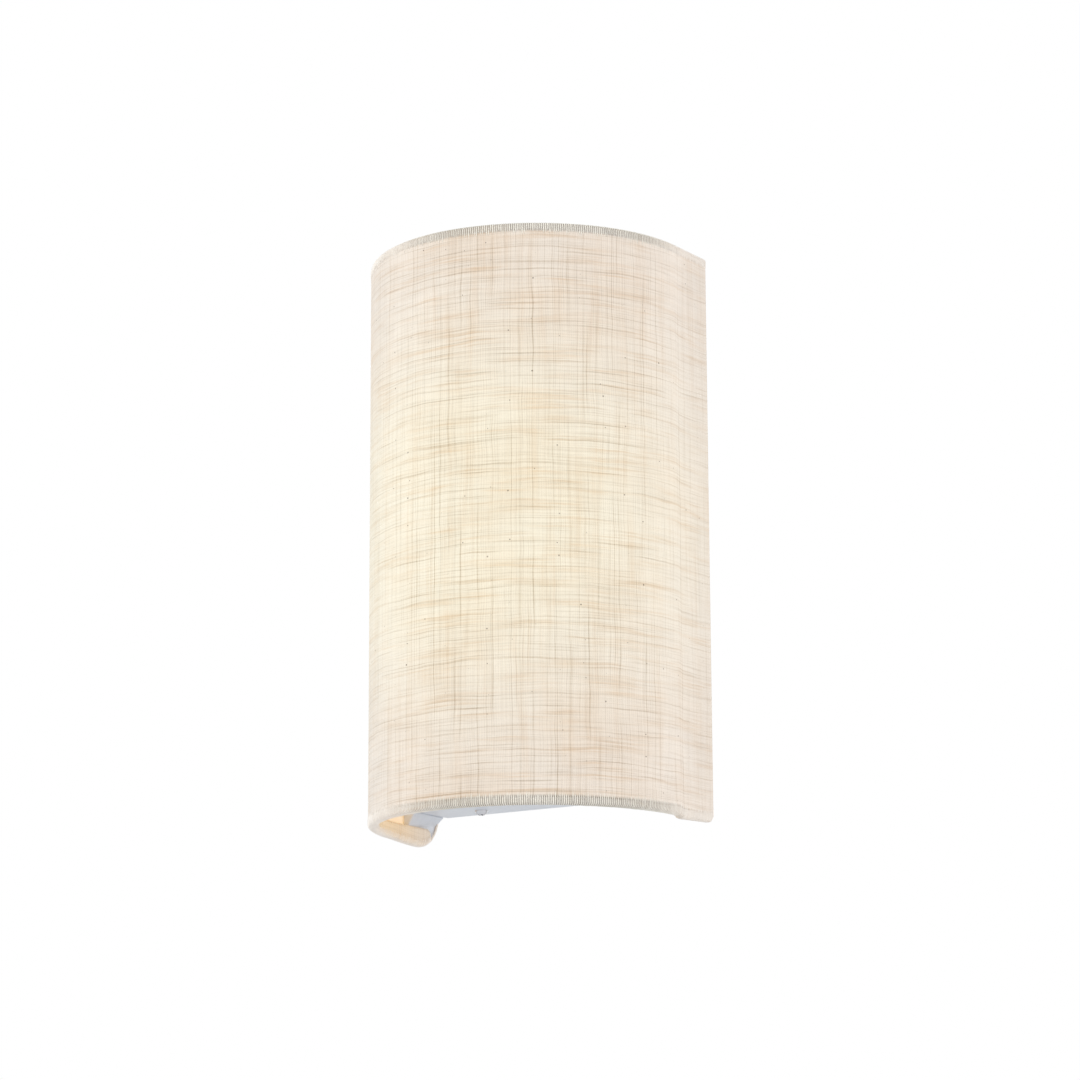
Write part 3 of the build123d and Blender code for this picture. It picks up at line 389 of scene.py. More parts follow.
def linen():
    """Slub linen lit from behind: upright threads, level slubs, flecks and the lamp's glow."""
    cloth = bpy.context.scene.wall_light_cloth
    seed = cloth.seed
    material, shader, tree = new_material("linen")

    # The place on the flat cloth, and the same moved a little so that no thread runs quite straight
    flat = tree.node("ShaderNodeUVMap", {"uv_map": "weave"})
    across = flat.axis(0) * IN_METRE
    along = flat.axis(1) * IN_METRE
    u = across + (vector(across * 0.05, along * 0.03, seed).noise(1.0) - 0.5) * WANDER
    v = along + (vector(across * 0.03, along * 0.05, seed + 9).noise(1.0) - 0.5) * WANDER

    # The plain weave and the single threads that stand out of it
    turns = u * (2 * math.pi / (cloth.thread * IN_METRE))
    rows = v * (2 * math.pi / WEFT_PITCH)
    clear = patchy(u * 0.11, v * 0.03, seed + 12, 0.35, 0.65, 2.0)
    upright = turns.math("SINE", turns) * (0.35 + clear * 0.65)
    level = rows.math("SINE", rows)
    lumps = vector(u * 0.9, v * 0.9).noise(1.0, 3.0, 0.6)
    warp = lone_threads(u, v, count=0.25, run=0.018, seed=seed + 1)
    warp_faint = lone_threads(u, v, count=0.60, run=0.030, seed=seed + 2)
    weft = lone_threads(v, u, count=0.34, run=0.030, seed=seed + 3)
    weft_faint = lone_threads(v, u, count=0.75, run=0.045, seed=seed + 4)
    thick, each_warp, each_weft = slubs(cloth, u, v)

    # Brightness and colour: painted shade on the rim, and fainter slubs and threads towards the shade's edges
    patch = vector(u * 0.045, v * 0.06, seed + 10).noise(1.0, 2.0)
    tone = 1.0 + (patch - 0.5) * 0.10 + upright * 0.040 + level * 0.012 + (lumps - 0.5) * 0.12
    tone = tone * (1.02 - each_warp * 0.026 - each_weft * 0.032)
    tone = tone * (1 - at_edges(across, NEAR_RIM, FAR_RIM) * PAINTED_RIM_SHADE)
    shade = vector(tone, tone, tone)
    dark = warp * DARK_WARP + warp_faint * DARK_FAINT + weft * DARK_WEFT + weft_faint * DARK_FAINT
    quiet = 1 - at_edges(across, NEAR_QUIET, FAR_LIMB) * QUIET
    dark = dark * quiet
    thick = thick * quiet
    weave = thick.math("MINIMUM", thick, 1.0).mix((1, 1, 1), cloth.slub)
    weave = dark.math("MINIMUM", dark, 1.0).mix(weave, weave.tint(cloth.dark_thread))
    weave = flecks(u, v).mix(weave, cloth.fleck)

    # The hems: doubled cloth lets less light through, and the lamp lights what is turned in
    from_edge = tree.node("ShaderNodeAttribute", {"attribute_name": "from_edge"}, None, 2) * IN_METRE
    # Painted light at the sides: there the hems take the plain cloth's look and glow, and their cords a
    # colour of their own
    limb_light = at_edges(across, NEAR_LIMB, FAR_LIMB)
    open_cloth_and_limb_light = from_edge.step(CORD_FADE, CORD_OUTER)
    open_cloth_and_limb_light = open_cloth_and_limb_light.math("MAXIMUM", open_cloth_and_limb_light, limb_light * LIMB_LIGHT_OPEN)
    turned_in = along.math("ABSOLUTE", along).step(HALF_HEIGHT + 1.5, HALF_HEIGHT + 4.0)
    turned_in = turned_in * (1 - across.step(*FAR_DIM) * DIM)
    cord = 1 - from_edge.step(CORD_MARK + 0.2, CORD_MARK + 0.8)

    near = 1.0 / (1.0 + (lamp_distance(tree) / cloth.glow_reach) ** 2.0)
    glow = near.step(0.12, 0.62).mix(cloth.glow_edge, cloth.glow_middle)
    glow = turned_in.mix(open_cloth_and_limb_light.mix(cloth.glow_hem, glow), cloth.glow_inside)
    # Painted shade darkens the cloth between the hem cords, and towards the sides the cords' colour changes
    # as painted light
    base = weave.tint(cloth.linen).tint(shade).tint(open_cloth_and_limb_light.mix(cloth.painted_gap_shade, (1, 1, 1)))
    base = cord.mix(base, limb_light.mix(cloth.hem_cord, cloth.limb_lit_cord))
    feed(shader, Base_Color=base, Roughness=0.92, Specular_IOR_Level=0.15)
    feed(shader, Sheen_Weight=0.12, Sheen_Roughness=0.6)
    feed(shader, Emission_Color=weave.tint(glow).tint(shade), Emission_Strength=1.0)
    relief = upright * 0.5 + level * 0.3 + lumps * 0.8 + warp * 0.9 + weft * 0.9
    feed(shader, Normal=relief.bump(0.00012, 0.8))
    return material


def lining(shade, glow):
    """Smooth lampshade lining, warmed by the lamp that faces it."""
    material, shader, tree = new_material("lining")
    here = place(tree)
    cloud = here.noise(60.0, 3.0)
    fine = here.noise(1400.0, 2.0)
    near = (lamp_distance(tree) / LINING_REACH).step(0.3, 1.1)
    base = cloud.mix([c * 0.97 for c in shade], shade)
    lit = near.mix(glow, [c * 0.72 for c in glow])
    feed(shader, Base_Color=base, Roughness=0.42 + fine * 0.16, Emission_Color=lit, Emission_Strength=1.0)
    feed(shader, Normal=fine.bump(0.00003, 0.5))
    return material


def coat(
    name, shade, rough, metal=0.0, grain=900.0, height=0.00003, stretch=(1, 1, 1), clear=0.0, worn=0.06
):
    """Paint, plating or moulding: a colour that drifts a little, with its own grain and gloss."""
    material, shader, tree = new_material(name)
    here = place(tree)
    scaled = tree.node("ShaderNodeMapping", None, {"Vector": here, "Scale": stretch})
    fine = scaled.noise(grain, 3.0, 0.6)
    drift = here.noise(35.0, 3.0, 0.55)
    streak = scaled.noise(grain * 0.22, 2.0, 0.5)
    dark = [c * (1 - worn) for c in shade]
    light = [min(1.0, c * (1 + worn * 0.6)) for c in shade]
    base = (drift * 0.6 + streak * 0.4).step(0.32, 0.68).mix(dark, light)
    gloss = rough + (fine - 0.5) * 0.22 + (drift - 0.5) * 0.14
    feed(shader, Base_Color=base, Roughness=gloss, Metallic=metal, Coat_Weight=clear, Coat_Roughness=0.12)
    feed(shader, Normal=fine.bump(height, 0.6))
    return material


def opal(lamp):
    """Frosted globe with the light inside it."""
    material, shader, tree = new_material("opal_globe")
    here = place(tree)
    haze = here.noise(90.0, 2.0)
    height = here.axis(2)
    even = height.step(-0.015, 0.010)
    shine = even.mix([c * 0.55 for c in lamp.light], lamp.light)
    feed(shader, Base_Color=haze.mix([c * 0.97 for c in lamp.opal], lamp.opal), Roughness=0.22 + haze * 0.1)
    feed(shader, Emission_Color=shine, Emission_Strength=lamp.power, Coat_Weight=0.3, Coat_Roughness=0.1)
    feed(shader, Normal=here.noise(2200.0).bump(0.00001, 0.4))
    return material


def striped():
    """Green insulation with a yellow stripe that runs round the lead."""
    material, shader, tree = new_material("lead_green_yellow")
    here = place(tree)
    turn = here.axis(0) * 900 + here.axis(2) * 620 + here.axis(1) * 500
    stripe = turn.math("SINE", turn).step(-0.05, 0.05)
    fine = here.noise(2600.0)
    feed(shader, Base_Color=stripe.mix((0.06, 0.30, 0.07), (0.86, 0.72, 0.06)), Roughness=0.36 + fine * 0.18)
    feed(shader, Normal=fine.bump(0.00002, 0.5))
    return material


def make_materials():
    """One material for each of the record's slots."""
    scene = bpy.context.scene
    metal = scene.wall_light_metal
    lamp = scene.wall_light_lamp
    brushed = (1.0, 0.25, 6.0)
    painted = {"grain": 1500.0, "height": 0.00004, "clear": 0.15, "worn": 0.04}
    ceramic = {"grain": 1100.0, "height": 0.00006, "worn": 0.06}
    moulded = {"grain": 2400.0, "height": 0.00002, "worn": 0.03}
    return {
        "linen": linen(),
        "lining": lining((0.90, 0.86, 0.78), (0.42, 0.27, 0.13)),
        "white_paint": coat("white_paint", metal.paint, 0.40, **painted),
        "frame_wire": coat("frame_wire", metal.wire, 0.38, grain=1800.0, clear=0.2),
        "zinc_steel": coat("zinc_steel", metal.zinc, 0.34, 1.0, 420.0, 0.00002, brushed, worn=0.16),
        "bright_screws": coat("bright_screws", metal.bright, 0.22, 1.0, 1600.0, 0.00001, worn=0.10),
        "rivet_aluminium": coat("rivet_aluminium", (0.76, 0.77, 0.78), 0.36, 1.0, 1300.0, 0.00002, worn=0.08),
        "holder_plastic": coat("holder_plastic", (0.82, 0.82, 0.80), 0.36, **moulded),
        "holder_ceramic": coat("holder_ceramic", (0.84, 0.81, 0.74), 0.62, **ceramic),
        "nickel": coat("nickel", (0.74, 0.71, 0.66), 0.26, 1.0, 1500.0, 0.00001, (1, 1, 5), worn=0.12),
        "brass": coat("brass", (0.72, 0.53, 0.24), 0.30, 1.0, 1400.0, 0.00002, worn=0.18),
        "rubber": coat("rubber", (0.035, 0.035, 0.037), 0.62, grain=1900.0, height=0.00004, worn=0.2),
        "lead_brown": coat("lead_brown", (0.135, 0.050, 0.022), 0.40, grain=2600.0, height=0.00002, worn=0.1),
        "lead_blue": coat("lead_blue", (0.030, 0.120, 0.420), 0.40, grain=2600.0, height=0.00002, worn=0.1),
        "lead_green_yellow": striped(),
        "tinned_tag": coat("tinned_tag", (0.73, 0.73, 0.71), 0.32, 1.0, 1300.0, 0.00002, worn=0.12),
        "terminal_plastic": coat("terminal_plastic", (0.80, 0.79, 0.74), 0.46, grain=1500.0, height=0.00003),
        "tip_metal": coat("tip_metal", (0.62, 0.61, 0.60), 0.34, 1.0, 1200.0, 0.00004, worn=0.2),
        "cap_glass": coat("cap_glass", (0.02, 0.02, 0.025), 0.10, grain=1200.0, height=0.00002, clear=0.6),
        "bulb_plastic": coat("bulb_plastic", (0.84, 0.84, 0.83), 0.26, grain=1900.0, clear=0.2, worn=0.03),
        "opal_globe": opal(lamp),
    }


def material_for(slot):
    if not MATERIALS:
        MATERIALS.update(make_materials())
    return MATERIALS[slot]


def dress(*nodes):
    """Gives CAD nodes the material of their record slot."""
    slots = {part["node"]: part["material_slot"] for part in frame["record"]["subparts"]}
    for name in nodes:
        mesh = frame["nodes"][name].data
        mesh.materials.clear()
        mesh.materials.append(material_for(slots[name]))


# ---- meshes -----------------------------------------------------------------------------


def new_object(name, points, faces, slot, uv=None):
    """A smooth mesh object from points in metres, with the weave's place on each corner."""
    mesh = bpy.data.meshes.new(name)
    mesh.from_pydata(points, [], faces)
    if uv:
        layer = mesh.uv_layers.new(name="weave")
        for loop in mesh.loops:
            layer.data[loop.index].uv = uv[loop.vertex_index]
    mesh.polygons.foreach_set("use_smooth", [True] * len(mesh.polygons))
    mesh.materials.append(material_for(slot))
    made = bpy.data.objects.new(name, mesh)
    bpy.context.scene.collection.objects.link(made)
    return made


def plain_mesh(obj):
    """Applies the object's modifiers, and drops them."""
    bpy.context.view_layer.update()
    graph = bpy.context.evaluated_depsgraph_get()
    made = obj.evaluated_get(graph)
    mesh = bpy.data.meshes.new_from_object(made, preserve_all_data_layers=True, depsgraph=graph)
    obj.modifiers.clear()
    obj.data = mesh
    return obj


def girth():
    """Stations round the shade from the near back edge: (x, y), the outward direction and the distance."""
    radius = HALF_WIDTH
    depths = CORNER_LINES + HEM_LINES + SIDE_LINES
    stations = [((radius, -depth), (1.0, 0.0), depth) for depth in depths]
    for step in range(1, ARC_STEPS + 1):
        angle = math.pi * step / ARC_STEPS
        way = (math.cos(angle), -math.sin(angle))
        stations.append(((radius * way[0], -SIDE + radius * way[1]), way, SIDE + radius * angle))
    for depth in reversed(depths[:-1]):
        stations.append(((-radius, -depth), (-1.0, 0.0), 2 * SIDE + math.pi * radius - depth))
    return stations


def foot(x, y):
    """The level of the lower hem, lower at the sides; its back corner is round, the far one more so."""
    run, corner, rise = (NEAR_STEP, NEAR_CORNER, NEAR_RISE) if x > 0 else (FAR_STEP, FAR_CORNER, 0.0)
    t = min(1.0, max(0.0, (y + SIDE) / run + 0.5))
    into = min(corner, max(0.0, y + WALL_GAP + corner))
    level = FOOT - SIDE_DROP * t * t * (3 - 2 * t) + rise * max(0.0, y + SIDE)
    return level + corner - math.sqrt(corner**2 - into**2)


def inner_edge(y):
    """How far the hem's inner wall stands up and in: it stops short of the wall in a round end."""
    into = min(HEM_ROUND, max(0.0, y + HEM_END + HEM_ROUND))
    height = HEM_HEIGHT - HEM_ROUND + math.sqrt(HEM_ROUND**2 - into**2)
    past = min(1.0, max(0.0, (y + HEM_END) / HEM_STOP))
    return height + (CLOTH - height) * past, HEM_WIDTH + (TIP_WIDTH - HEM_WIDTH) * past


def return_width(z):
    """How far the cloth is turned in over the back edge: less where the rails taper."""
    t = min(1.0, max(0.0, (abs(z) - PAN_HALF_HEIGHT) / (HALF_HEIGHT - HEM_HEIGHT - PAN_HALF_HEIGHT)))
    return RETURN + (RETURN_TIP - RETURN) * t


def fold(level, way, height, width=HEM_WIDTH):
    """A hem's section from its free inner edge to the outer wall, as (inset, z).

    way is 1 for the upper hem and -1 for the lower one."""
    points = []
    bend = HEM_BEND
    rise = min(height, bend)
    for step in range(FLAT_STEPS):
        z = height - (height - rise) * step / FLAT_STEPS
        points.append((width, z))
    reach = math.acos(1 - rise / bend)
    for step in range(BEND_STEPS):
        angle = reach * (1 - step / (BEND_STEPS - 1))
        points.append((width - bend + bend * math.sin(angle), bend - bend * math.cos(angle)))
    for step in range(BEND_STEPS):
        angle = math.pi / 2 * step / (BEND_STEPS - 1)
        points.append((bend - bend * math.sin(angle), bend - bend * math.cos(angle)))
    return [(inset, level - way * z) for inset, z in points]


def section(x, y):
    """The cloth's whole section at one place, from the top hem's free edge to the lower one's."""
    height, width = inner_edge(y)
    level = foot(x, y)
    top = fold(HALF_HEIGHT, 1, height, width)
    low = fold(level, -1, max(CLOTH, INNER_TOP - level + height - HEM_HEIGHT), width)[::-1]
    start, end = top[-1][1], low[0][1]
    wall = [(0.0, start + (end - start) * step / WALL_STEPS) for step in range(1, WALL_STEPS)]
    return top + wall + low


def cloth_mesh():
    """The linen skin as one grid: its wall, both hems, and the returns over the back edges.

    Returns its points and faces, each point's place on the flat cloth, and its distance from a hem."""
    stations = girth()
    columns = []
    for share in RETURN_SHARES:
        columns.append(((HALF_WIDTH, -WALL_GAP), (0.0, 1.0), -RETURN * share, share))
    for point, way, distance in stations:
        columns.append((point, way, distance, 0.0))
    last = stations[-1][2]
    for share in reversed(RETURN_SHARES):
        columns.append(((-HALF_WIDTH, -WALL_GAP), (0.0, 1.0), last + RETURN * share, share))
    points, uv, edge = [], [], []
    rows = 2 * HEM_POINTS + WALL_STEPS - 1
    for (x, y), way, distance, turned_in in columns:
        line = section(x, y)
        travel = 0.0
        before = line[0]
        lengths = []
        for inset, z in line:
            travel += math.hypot(inset - before[0], z - before[1])
            lengths.append(travel)
            before = (inset, z)
        for index, (inset, z) in enumerate(line):
            inward = inset * way[0]
            if turned_in:
                inset, inward = 0.0, math.copysign(return_width(z) * turned_in, x)
            points.append(((x - inward) * MM, (y - way[1] * inset) * MM, z * MM))
            uv.append((distance * MM, (lengths[rows // 2] - lengths[index]) * MM))
            edge.append(min(HALF_HEIGHT - z, z - foot(x, y)) * MM)
    faces = []
    for column in range(len(columns) - 1):
        flat = columns[column][3] > 0 or columns[column + 1][3] > 0
        for row in range(rows - 1):
            if flat and (row < HEM_POINTS - 1 or row >= rows - HEM_POINTS):
                continue
            a = column * rows + row
            faces.append((a, a + rows, a + rows + 1, a + 1))
    return points, faces, uv, edge


def add_edge_distance(mesh, values):
    """Gives each point its distance from the nearer hem, in metres."""
    layer = mesh.attributes.new("from_edge", "FLOAT", "POINT")
    layer.data.foreach_set("value", values)


def rib_form(name, way):
    """One cord of the weave where it goes over a hem: a bent four-sided thread with thin ends."""
    radius = bpy.context.scene.wall_light_cloth.rib_radius / MM
    inner = [(HEM_WIDTH, CORD_INNER), (HEM_WIDTH, CORD_INNER - CORD_TIP)]
    outer = [(0.0, CORD_OUTER - 2 * CORD_TIP), (0.0, CORD_OUTER)]
    line = inner + fold(0.0, -1, HEM_BEND)[FLAT_STEPS:] + outer
    points, faces = [], []
    for index, (inset, z) in enumerate(line):
        ahead, behind = line[min(index + 1, len(line) - 1)], line[max(index - 1, 0)]
        run = Vector((ahead[0] - behind[0], 0.0, ahead[1] - behind[1])).normalized()
        out = Vector((run.z, 0.0, -run.x))
        size = radius * (CORD_THIN if index in (0, len(line) - 1) else 1.0)
        middle = Vector((inset, 0.0, z))
        for side in (out, Vector((0, 1, 0)), -out, Vector((0, -1, 0))):
            corner = middle + side * size
            points.append((corner.x * MM, corner.y * MM, corner.z * MM * way))
    for index in range(len(line) - 1):
        for side in range(4):
            a, b = index * 4 + side, index * 4 + (side + 1) % 4
            faces.append((a, b, b + 4, a + 4))
    last = (len(line) - 1) * 4
    faces += [(3, 2, 1, 0), (last, last + 1, last + 2, last + 3)]
    form = new_object(name, points, faces, "linen")
    work = bmesh.new()
    work.from_mesh(form.data)
    bmesh.ops.recalc_face_normals(work, faces=work.faces)
    work.to_mesh(form.data)
    work.free()
    return form


def rib_tree():
    """Nodes that set a form along a path at an even pitch, each a little different from the next."""
    tree = bpy.data.node_groups.new("cords over a hem", "GeometryNodeTree")
    face = tree.interface
    face.new_socket("Geometry", in_out="INPUT", socket_type="NodeSocketGeometry")
    for name, kind in (("Form", "Object"), ("Pitch", "Float"), ("Unevenness", "Float"), ("Seed", "Int")):
        face.new_socket(name, in_out="INPUT", socket_type=f"NodeSocket{kind}")
    face.new_socket("Material", in_out="INPUT", socket_type="NodeSocketMaterial")
    face.new_socket("Geometry", in_out="OUTPUT", socket_type="NodeSocketGeometry")

    def node(kind, settings=None, **links):
        made = tree.nodes.new(kind)
        for key, value in (settings or {}).items():
            setattr(made, key, value)
        for key, value in links.items():
            socket = made.inputs[int(key[1:])] if key[1:].isdigit() else made.inputs[key.replace("_", " ")]
            if isinstance(value, bpy.types.NodeSocket):
                tree.links.new(value, socket)
            else:
                socket.default_value = value
        return made

    group = node("NodeGroupInput").outputs
    curve = node("GeometryNodeMeshToCurve", Mesh=group["Geometry"]).outputs[0]
    by_length = {"mode": "LENGTH"}
    even = node("GeometryNodeResampleCurve", by_length, Curve=curve, Length=group["Pitch"]).outputs[0]
    tangent = node("GeometryNodeInputTangent").outputs[0]
    upright = {"axis": "Y", "pivot_axis": "Z"}
    turn = node("FunctionNodeAlignRotationToVector", upright, Vector=tangent).outputs[0]
    form = node("GeometryNodeObjectInfo", Object=group["Form"]).outputs["Geometry"]
    low = node("ShaderNodeMath", {"operation": "SUBTRACT"}, _0=1.0, _1=group["Unevenness"]).outputs[0]
    high = node("ShaderNodeMath", {"operation": "ADD"}, _0=1.0, _1=group["Unevenness"]).outputs[0]
    number = {"data_type": "FLOAT"}
    pick = node("FunctionNodeRandomValue", number, _2=low, _3=high, Seed=group["Seed"]).outputs[1]
    other = node("ShaderNodeMath", {"operation": "ADD"}, _0=group["Seed"], _1=1.0).outputs[0]
    reach = node("FunctionNodeRandomValue", number, _2=low, _3=high, Seed=other).outputs[1]
    scale = node("ShaderNodeCombineXYZ", None, X=1.0, Y=pick, Z=reach).outputs[0]
    fit = {"Points": even, "Instance": form, "Rotation": turn, "Scale": scale}
    cords = node("GeometryNodeInstanceOnPoints", None, **fit).outputs[0]
    real = node("GeometryNodeRealizeInstances", None, Geometry=cords).outputs[0]
    done = node("GeometryNodeSetMaterial", None, Geometry=real, Material=group["Material"]).outputs[0]
    node("NodeGroupOutput", None, Geometry=done)
    return tree


def set_input(modifier, name, value):
    """Sets a modifier's named input by its socket's identifier."""
    for item in modifier.node_group.interface.items_tree:
        if item.item_type == "SOCKET" and item.in_out == "INPUT" and item.name == name:
            modifier[item.identifier] = value
            return
    raise KeyError(name)


def hem_ribs(name, way):
    """The row of cords over one hem, as one mesh along the shade's edge; way is -1 for the upper one."""
    cloth = bpy.context.scene.wall_light_cloth
    level = (lambda x, y: HALF_HEIGHT) if way < 0 else foot
    path = [(x * MM, y * MM, level(x, y) * MM) for (x, y), _, _ in girth()]
    steps = [(index, index + 1) for index in range(len(path) - 1)]
    mesh = bpy.data.meshes.new(name)
    mesh.from_pydata(path, steps, [])
    row = bpy.data.objects.new(name, mesh)
    bpy.context.scene.collection.objects.link(row)
    form = rib_form(name + "_form", way)
    modifier = row.modifiers.new("cords", "NODES")
    modifier.node_group = rib_tree()
    inputs = {"Form": form, "Pitch": cloth.rib_pitch, "Unevenness": CORD_UNEVEN, "Seed": cloth.seed}
    for key, value in inputs.items():
        set_input(modifier, key, value)
    set_input(modifier, "Material", material_for("linen"))
    plain_mesh(row)
    bpy.data.objects.remove(form)
    layer = row.data.uv_layers.get("weave") or row.data.uv_layers.new(name="weave")
    for loop in row.data.loops:
        spot = row.data.vertices[loop.vertex_index].co
        angle = math.atan2(-(spot.y + SIDE * MM), spot.x)
        angle += 2 * math.pi if angle < -math.pi / 2 else 0.0
        layer.data[loop.index].uv = ((SIDE + angle * HALF_WIDTH) * MM, spot.z)
    add_edge_distance(row.data, [CORD_MARK * MM] * len(row.data.vertices))
    return row


def turned_thread(name, slot, line, low, high, pitch, depth, sides=96, rings=120):
    """A wall of revolution about the lamp's axis, with a rounded thread between two heights.

    line gives the plain radius at each height in metres."""
    points, faces = [], []
    fade_run = pitch * THREAD_FADE
    heights = [line[0][1] + (line[-1][1] - line[0][1]) * ring / rings for ring in range(rings + 1)]
    for z in heights:
        below = max(index for index, spot in enumerate(line[:-1]) if spot[1] <= z + 1e-9)
        (r0, z0), (r1, z1) = line[below], line[below + 1]
        plain = r0 + (r1 - r0) * (z - z0) / (z1 - z0)
        fade = min(1.0, max(0.0, (z - low) / fade_run)) * min(1.0, max(0.0, (high - z) / fade_run))
        for side in range(sides):
            angle = 2 * math.pi * side / sides
            wave = 0.5 - 0.5 * math.cos(2 * math.pi * ((z - LAMP.z) / pitch - side / sides))
            radius = plain - depth * wave * fade
            points.append((LAMP.x + radius * math.cos(angle), LAMP.y + radius * math.sin(angle), z))
    for ring in range(rings):
        for side in range(sides):
            a, b = ring * sides + side, ring * sides + (side + 1) % sides
            faces.append((a, b, b + sides, a + sides))
    faces.append(tuple(range(sides))[::-1])
    faces.append(tuple(rings * sides + side for side in range(sides)))
    return new_object(name, points, faces, slot)


def trimmed(name):
    """A piece behind the linen whose lower end follows the round corner of the hem."""
    mesh = frame["nodes"][name].data.copy()
    for vertex in mesh.vertices:
        x, y, z = vertex.co
        vertex.co.z = max(z, (foot(x / MM, y / MM) + LAYERS) * MM)
    mesh.name = name + "_trimmed"
    piece = bpy.data.objects.new(name + "_trimmed", mesh)
    bpy.context.scene.collection.objects.link(piece)
    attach(piece, "fixture")
    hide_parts(name)
    return piece


# ---- stage ------------------------------------------------------------------------------


def make_floor(drop):
    """A plain pale floor, drop metres under the light's middle."""
    corners = ((-1, -1), (1, -1), (1, 1), (-1, 1))
    points = [(x * FLOOR_REACH, y * FLOOR_REACH, -drop) for x, y in corners]
    mesh = bpy.data.meshes.new("floor")
    mesh.from_pydata(points, [], [(0, 1, 2, 3)])
    mesh.materials.append(coat("floor_finish", (0.82, 0.82, 0.82), 0.7, grain=60.0, worn=0.01))
    floor = bpy.data.objects.new("floor", mesh)
    bpy.context.scene.collection.objects.link(floor)


def make_surround(fill):
    """An even light from all sides that the camera and reflections see as plain white."""
    world = bpy.data.worlds.new("surround")
    world.use_nodes = True
    bpy.context.scene.world = world
    tree = world.node_tree
    background = tree.nodes["Background"]
    rays = tree.nodes.new("ShaderNodeLightPath").outputs
    seen = Signal(tree, rays["Is Camera Ray"])
    for name in ("Is Glossy Ray", "Is Transmission Ray"):
        seen = seen.math("MAXIMUM", seen, Signal(tree, rays[name]))
    strength = fill + seen * (1.0 - fill)
    background.inputs["Color"].default_value = (1, 1, 1, 1)
    tree.links.new(strength.socket, background.inputs["Strength"])


def soft_lamp(name, at, power, tint):
    """A large square lamp that faces the wall light."""
    data = bpy.data.lights.new(name, "AREA")
    data.shape = "RECTANGLE"
    data.size = LIGHT_WIDTH
    data.size_y = LIGHT_WIDTH
    data.energy = power
    data.color = tint
    made = bpy.data.objects.new(name, data)
    aim = (Vector(AIM) - Vector(at)).to_track_quat("-Z", "Y")
    made.matrix_world = Matrix.Translation(at) @ aim.to_matrix().to_4x4()
    bpy.context.scene.collection.objects.link(made)


def make_camera():
    """A camera that stands to the right of the light and a little under it."""
    data = bpy.data.cameras.new("view")
    data.lens = CAMERA_LENS
    data.sensor_width = 36.0
    data.clip_end = 50.0
    camera = bpy.data.objects.new("view", data)
    level = math.cos(CAMERA_LIFT)
    ahead = Vector((-math.sin(CAMERA_TURN) * level, math.cos(CAMERA_TURN) * level, math.sin(CAMERA_LIFT)))
    aim = ahead.to_track_quat("-Z", "Y").to_matrix().to_4x4()
    camera.matrix_world = Matrix.Translation(CAMERA_AT) @ aim @ Matrix.Rotation(CAMERA_ROLL, 4, "Z")
    bpy.context.scene.collection.objects.link(camera)
    bpy.context.scene.camera = camera


# ---- operators --------------------------------------------------------------------------


class WALLLIGHT_OT_shade(bpy.types.Operator):
    """Makes the linen skin with its hems, and the cords of the weave over them"""

    bl_idname = "wall_light.shade"
    bl_label = "Linen shade"

    def execute(self, context):
        points, faces, uv, edge = cloth_mesh()
        skin = new_object("linen_skin", points, faces, "linen", uv)
        add_edge_distance(skin.data, edge)
        wall = skin.modifiers.new("thickness", "SOLIDIFY")
        wall.thickness = CLOTH * MM
        wall.offset = -1
        plain_mesh(skin)
        upper = hem_ribs("hem_cords_upper", -1)
        lower = hem_ribs("hem_cords_lower", 1)
        for piece in (skin, upper, lower):
            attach(piece, "fixture")
        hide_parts("shade_fabric")
        return {"FINISHED"}


class WALLLIGHT_OT_lining(bpy.types.Operator):
    """Finishes the smooth lining behind the linen"""

    bl_idname = "wall_light.lining"
    bl_label = "Lining"

    def execute(self, context):
        dress("shade_liner")
        trimmed("shade_liner")
        return {"FINISHED"}


class WALLLIGHT_OT_frame(bpy.types.Operator):
    """Finishes the painted pan, rails and bracket, the rings and the rivets"""

    bl_idname = "wall_light.frame"
    bl_label = "Painted frame"

    def execute(self, context):
        dress("back_pan", "side_rail_right", "side_rail_left", "lamp_bracket")
        for side in ("right", "left"):
            trimmed("side_rail_" + side)
        dress("ring_top", "ring_bottom", "rail_rivets")
        return {"FINISHED"}


class WALLLIGHT_OT_wall_plate(bpy.types.Operator):
    """Finishes the zinc-plated plate on the wall"""

    bl_idname = "wall_light.wall_plate"
    bl_label = "Wall plate"

    def execute(self, context):
        dress("wall_plate")
        return {"FINISHED"}


class WALLLIGHT_OT_fasteners(bpy.types.Operator):
    """Finishes the screws and nuts"""

    bl_idname = "wall_light.fasteners"
    bl_label = "Screws and nuts"

    def execute(self, context):
        dress("pan_screws", "bracket_screws", "bracket_nuts", "holder_nipple", "nipple_nut", "nipple_washer")
        return {"FINISHED"}


class WALLLIGHT_OT_holder(bpy.types.Operator):
    """Finishes the lamp holder"""

    bl_idname = "wall_light.holder"
    bl_label = "Lamp holder"

    def execute(self, context):
        dress("holder_cap", "holder_sleeve", "holder_core", "holder_terminal_screws")
        dress("holder_screw_shell", "holder_centre_contact")
        return {"FINISHED"}


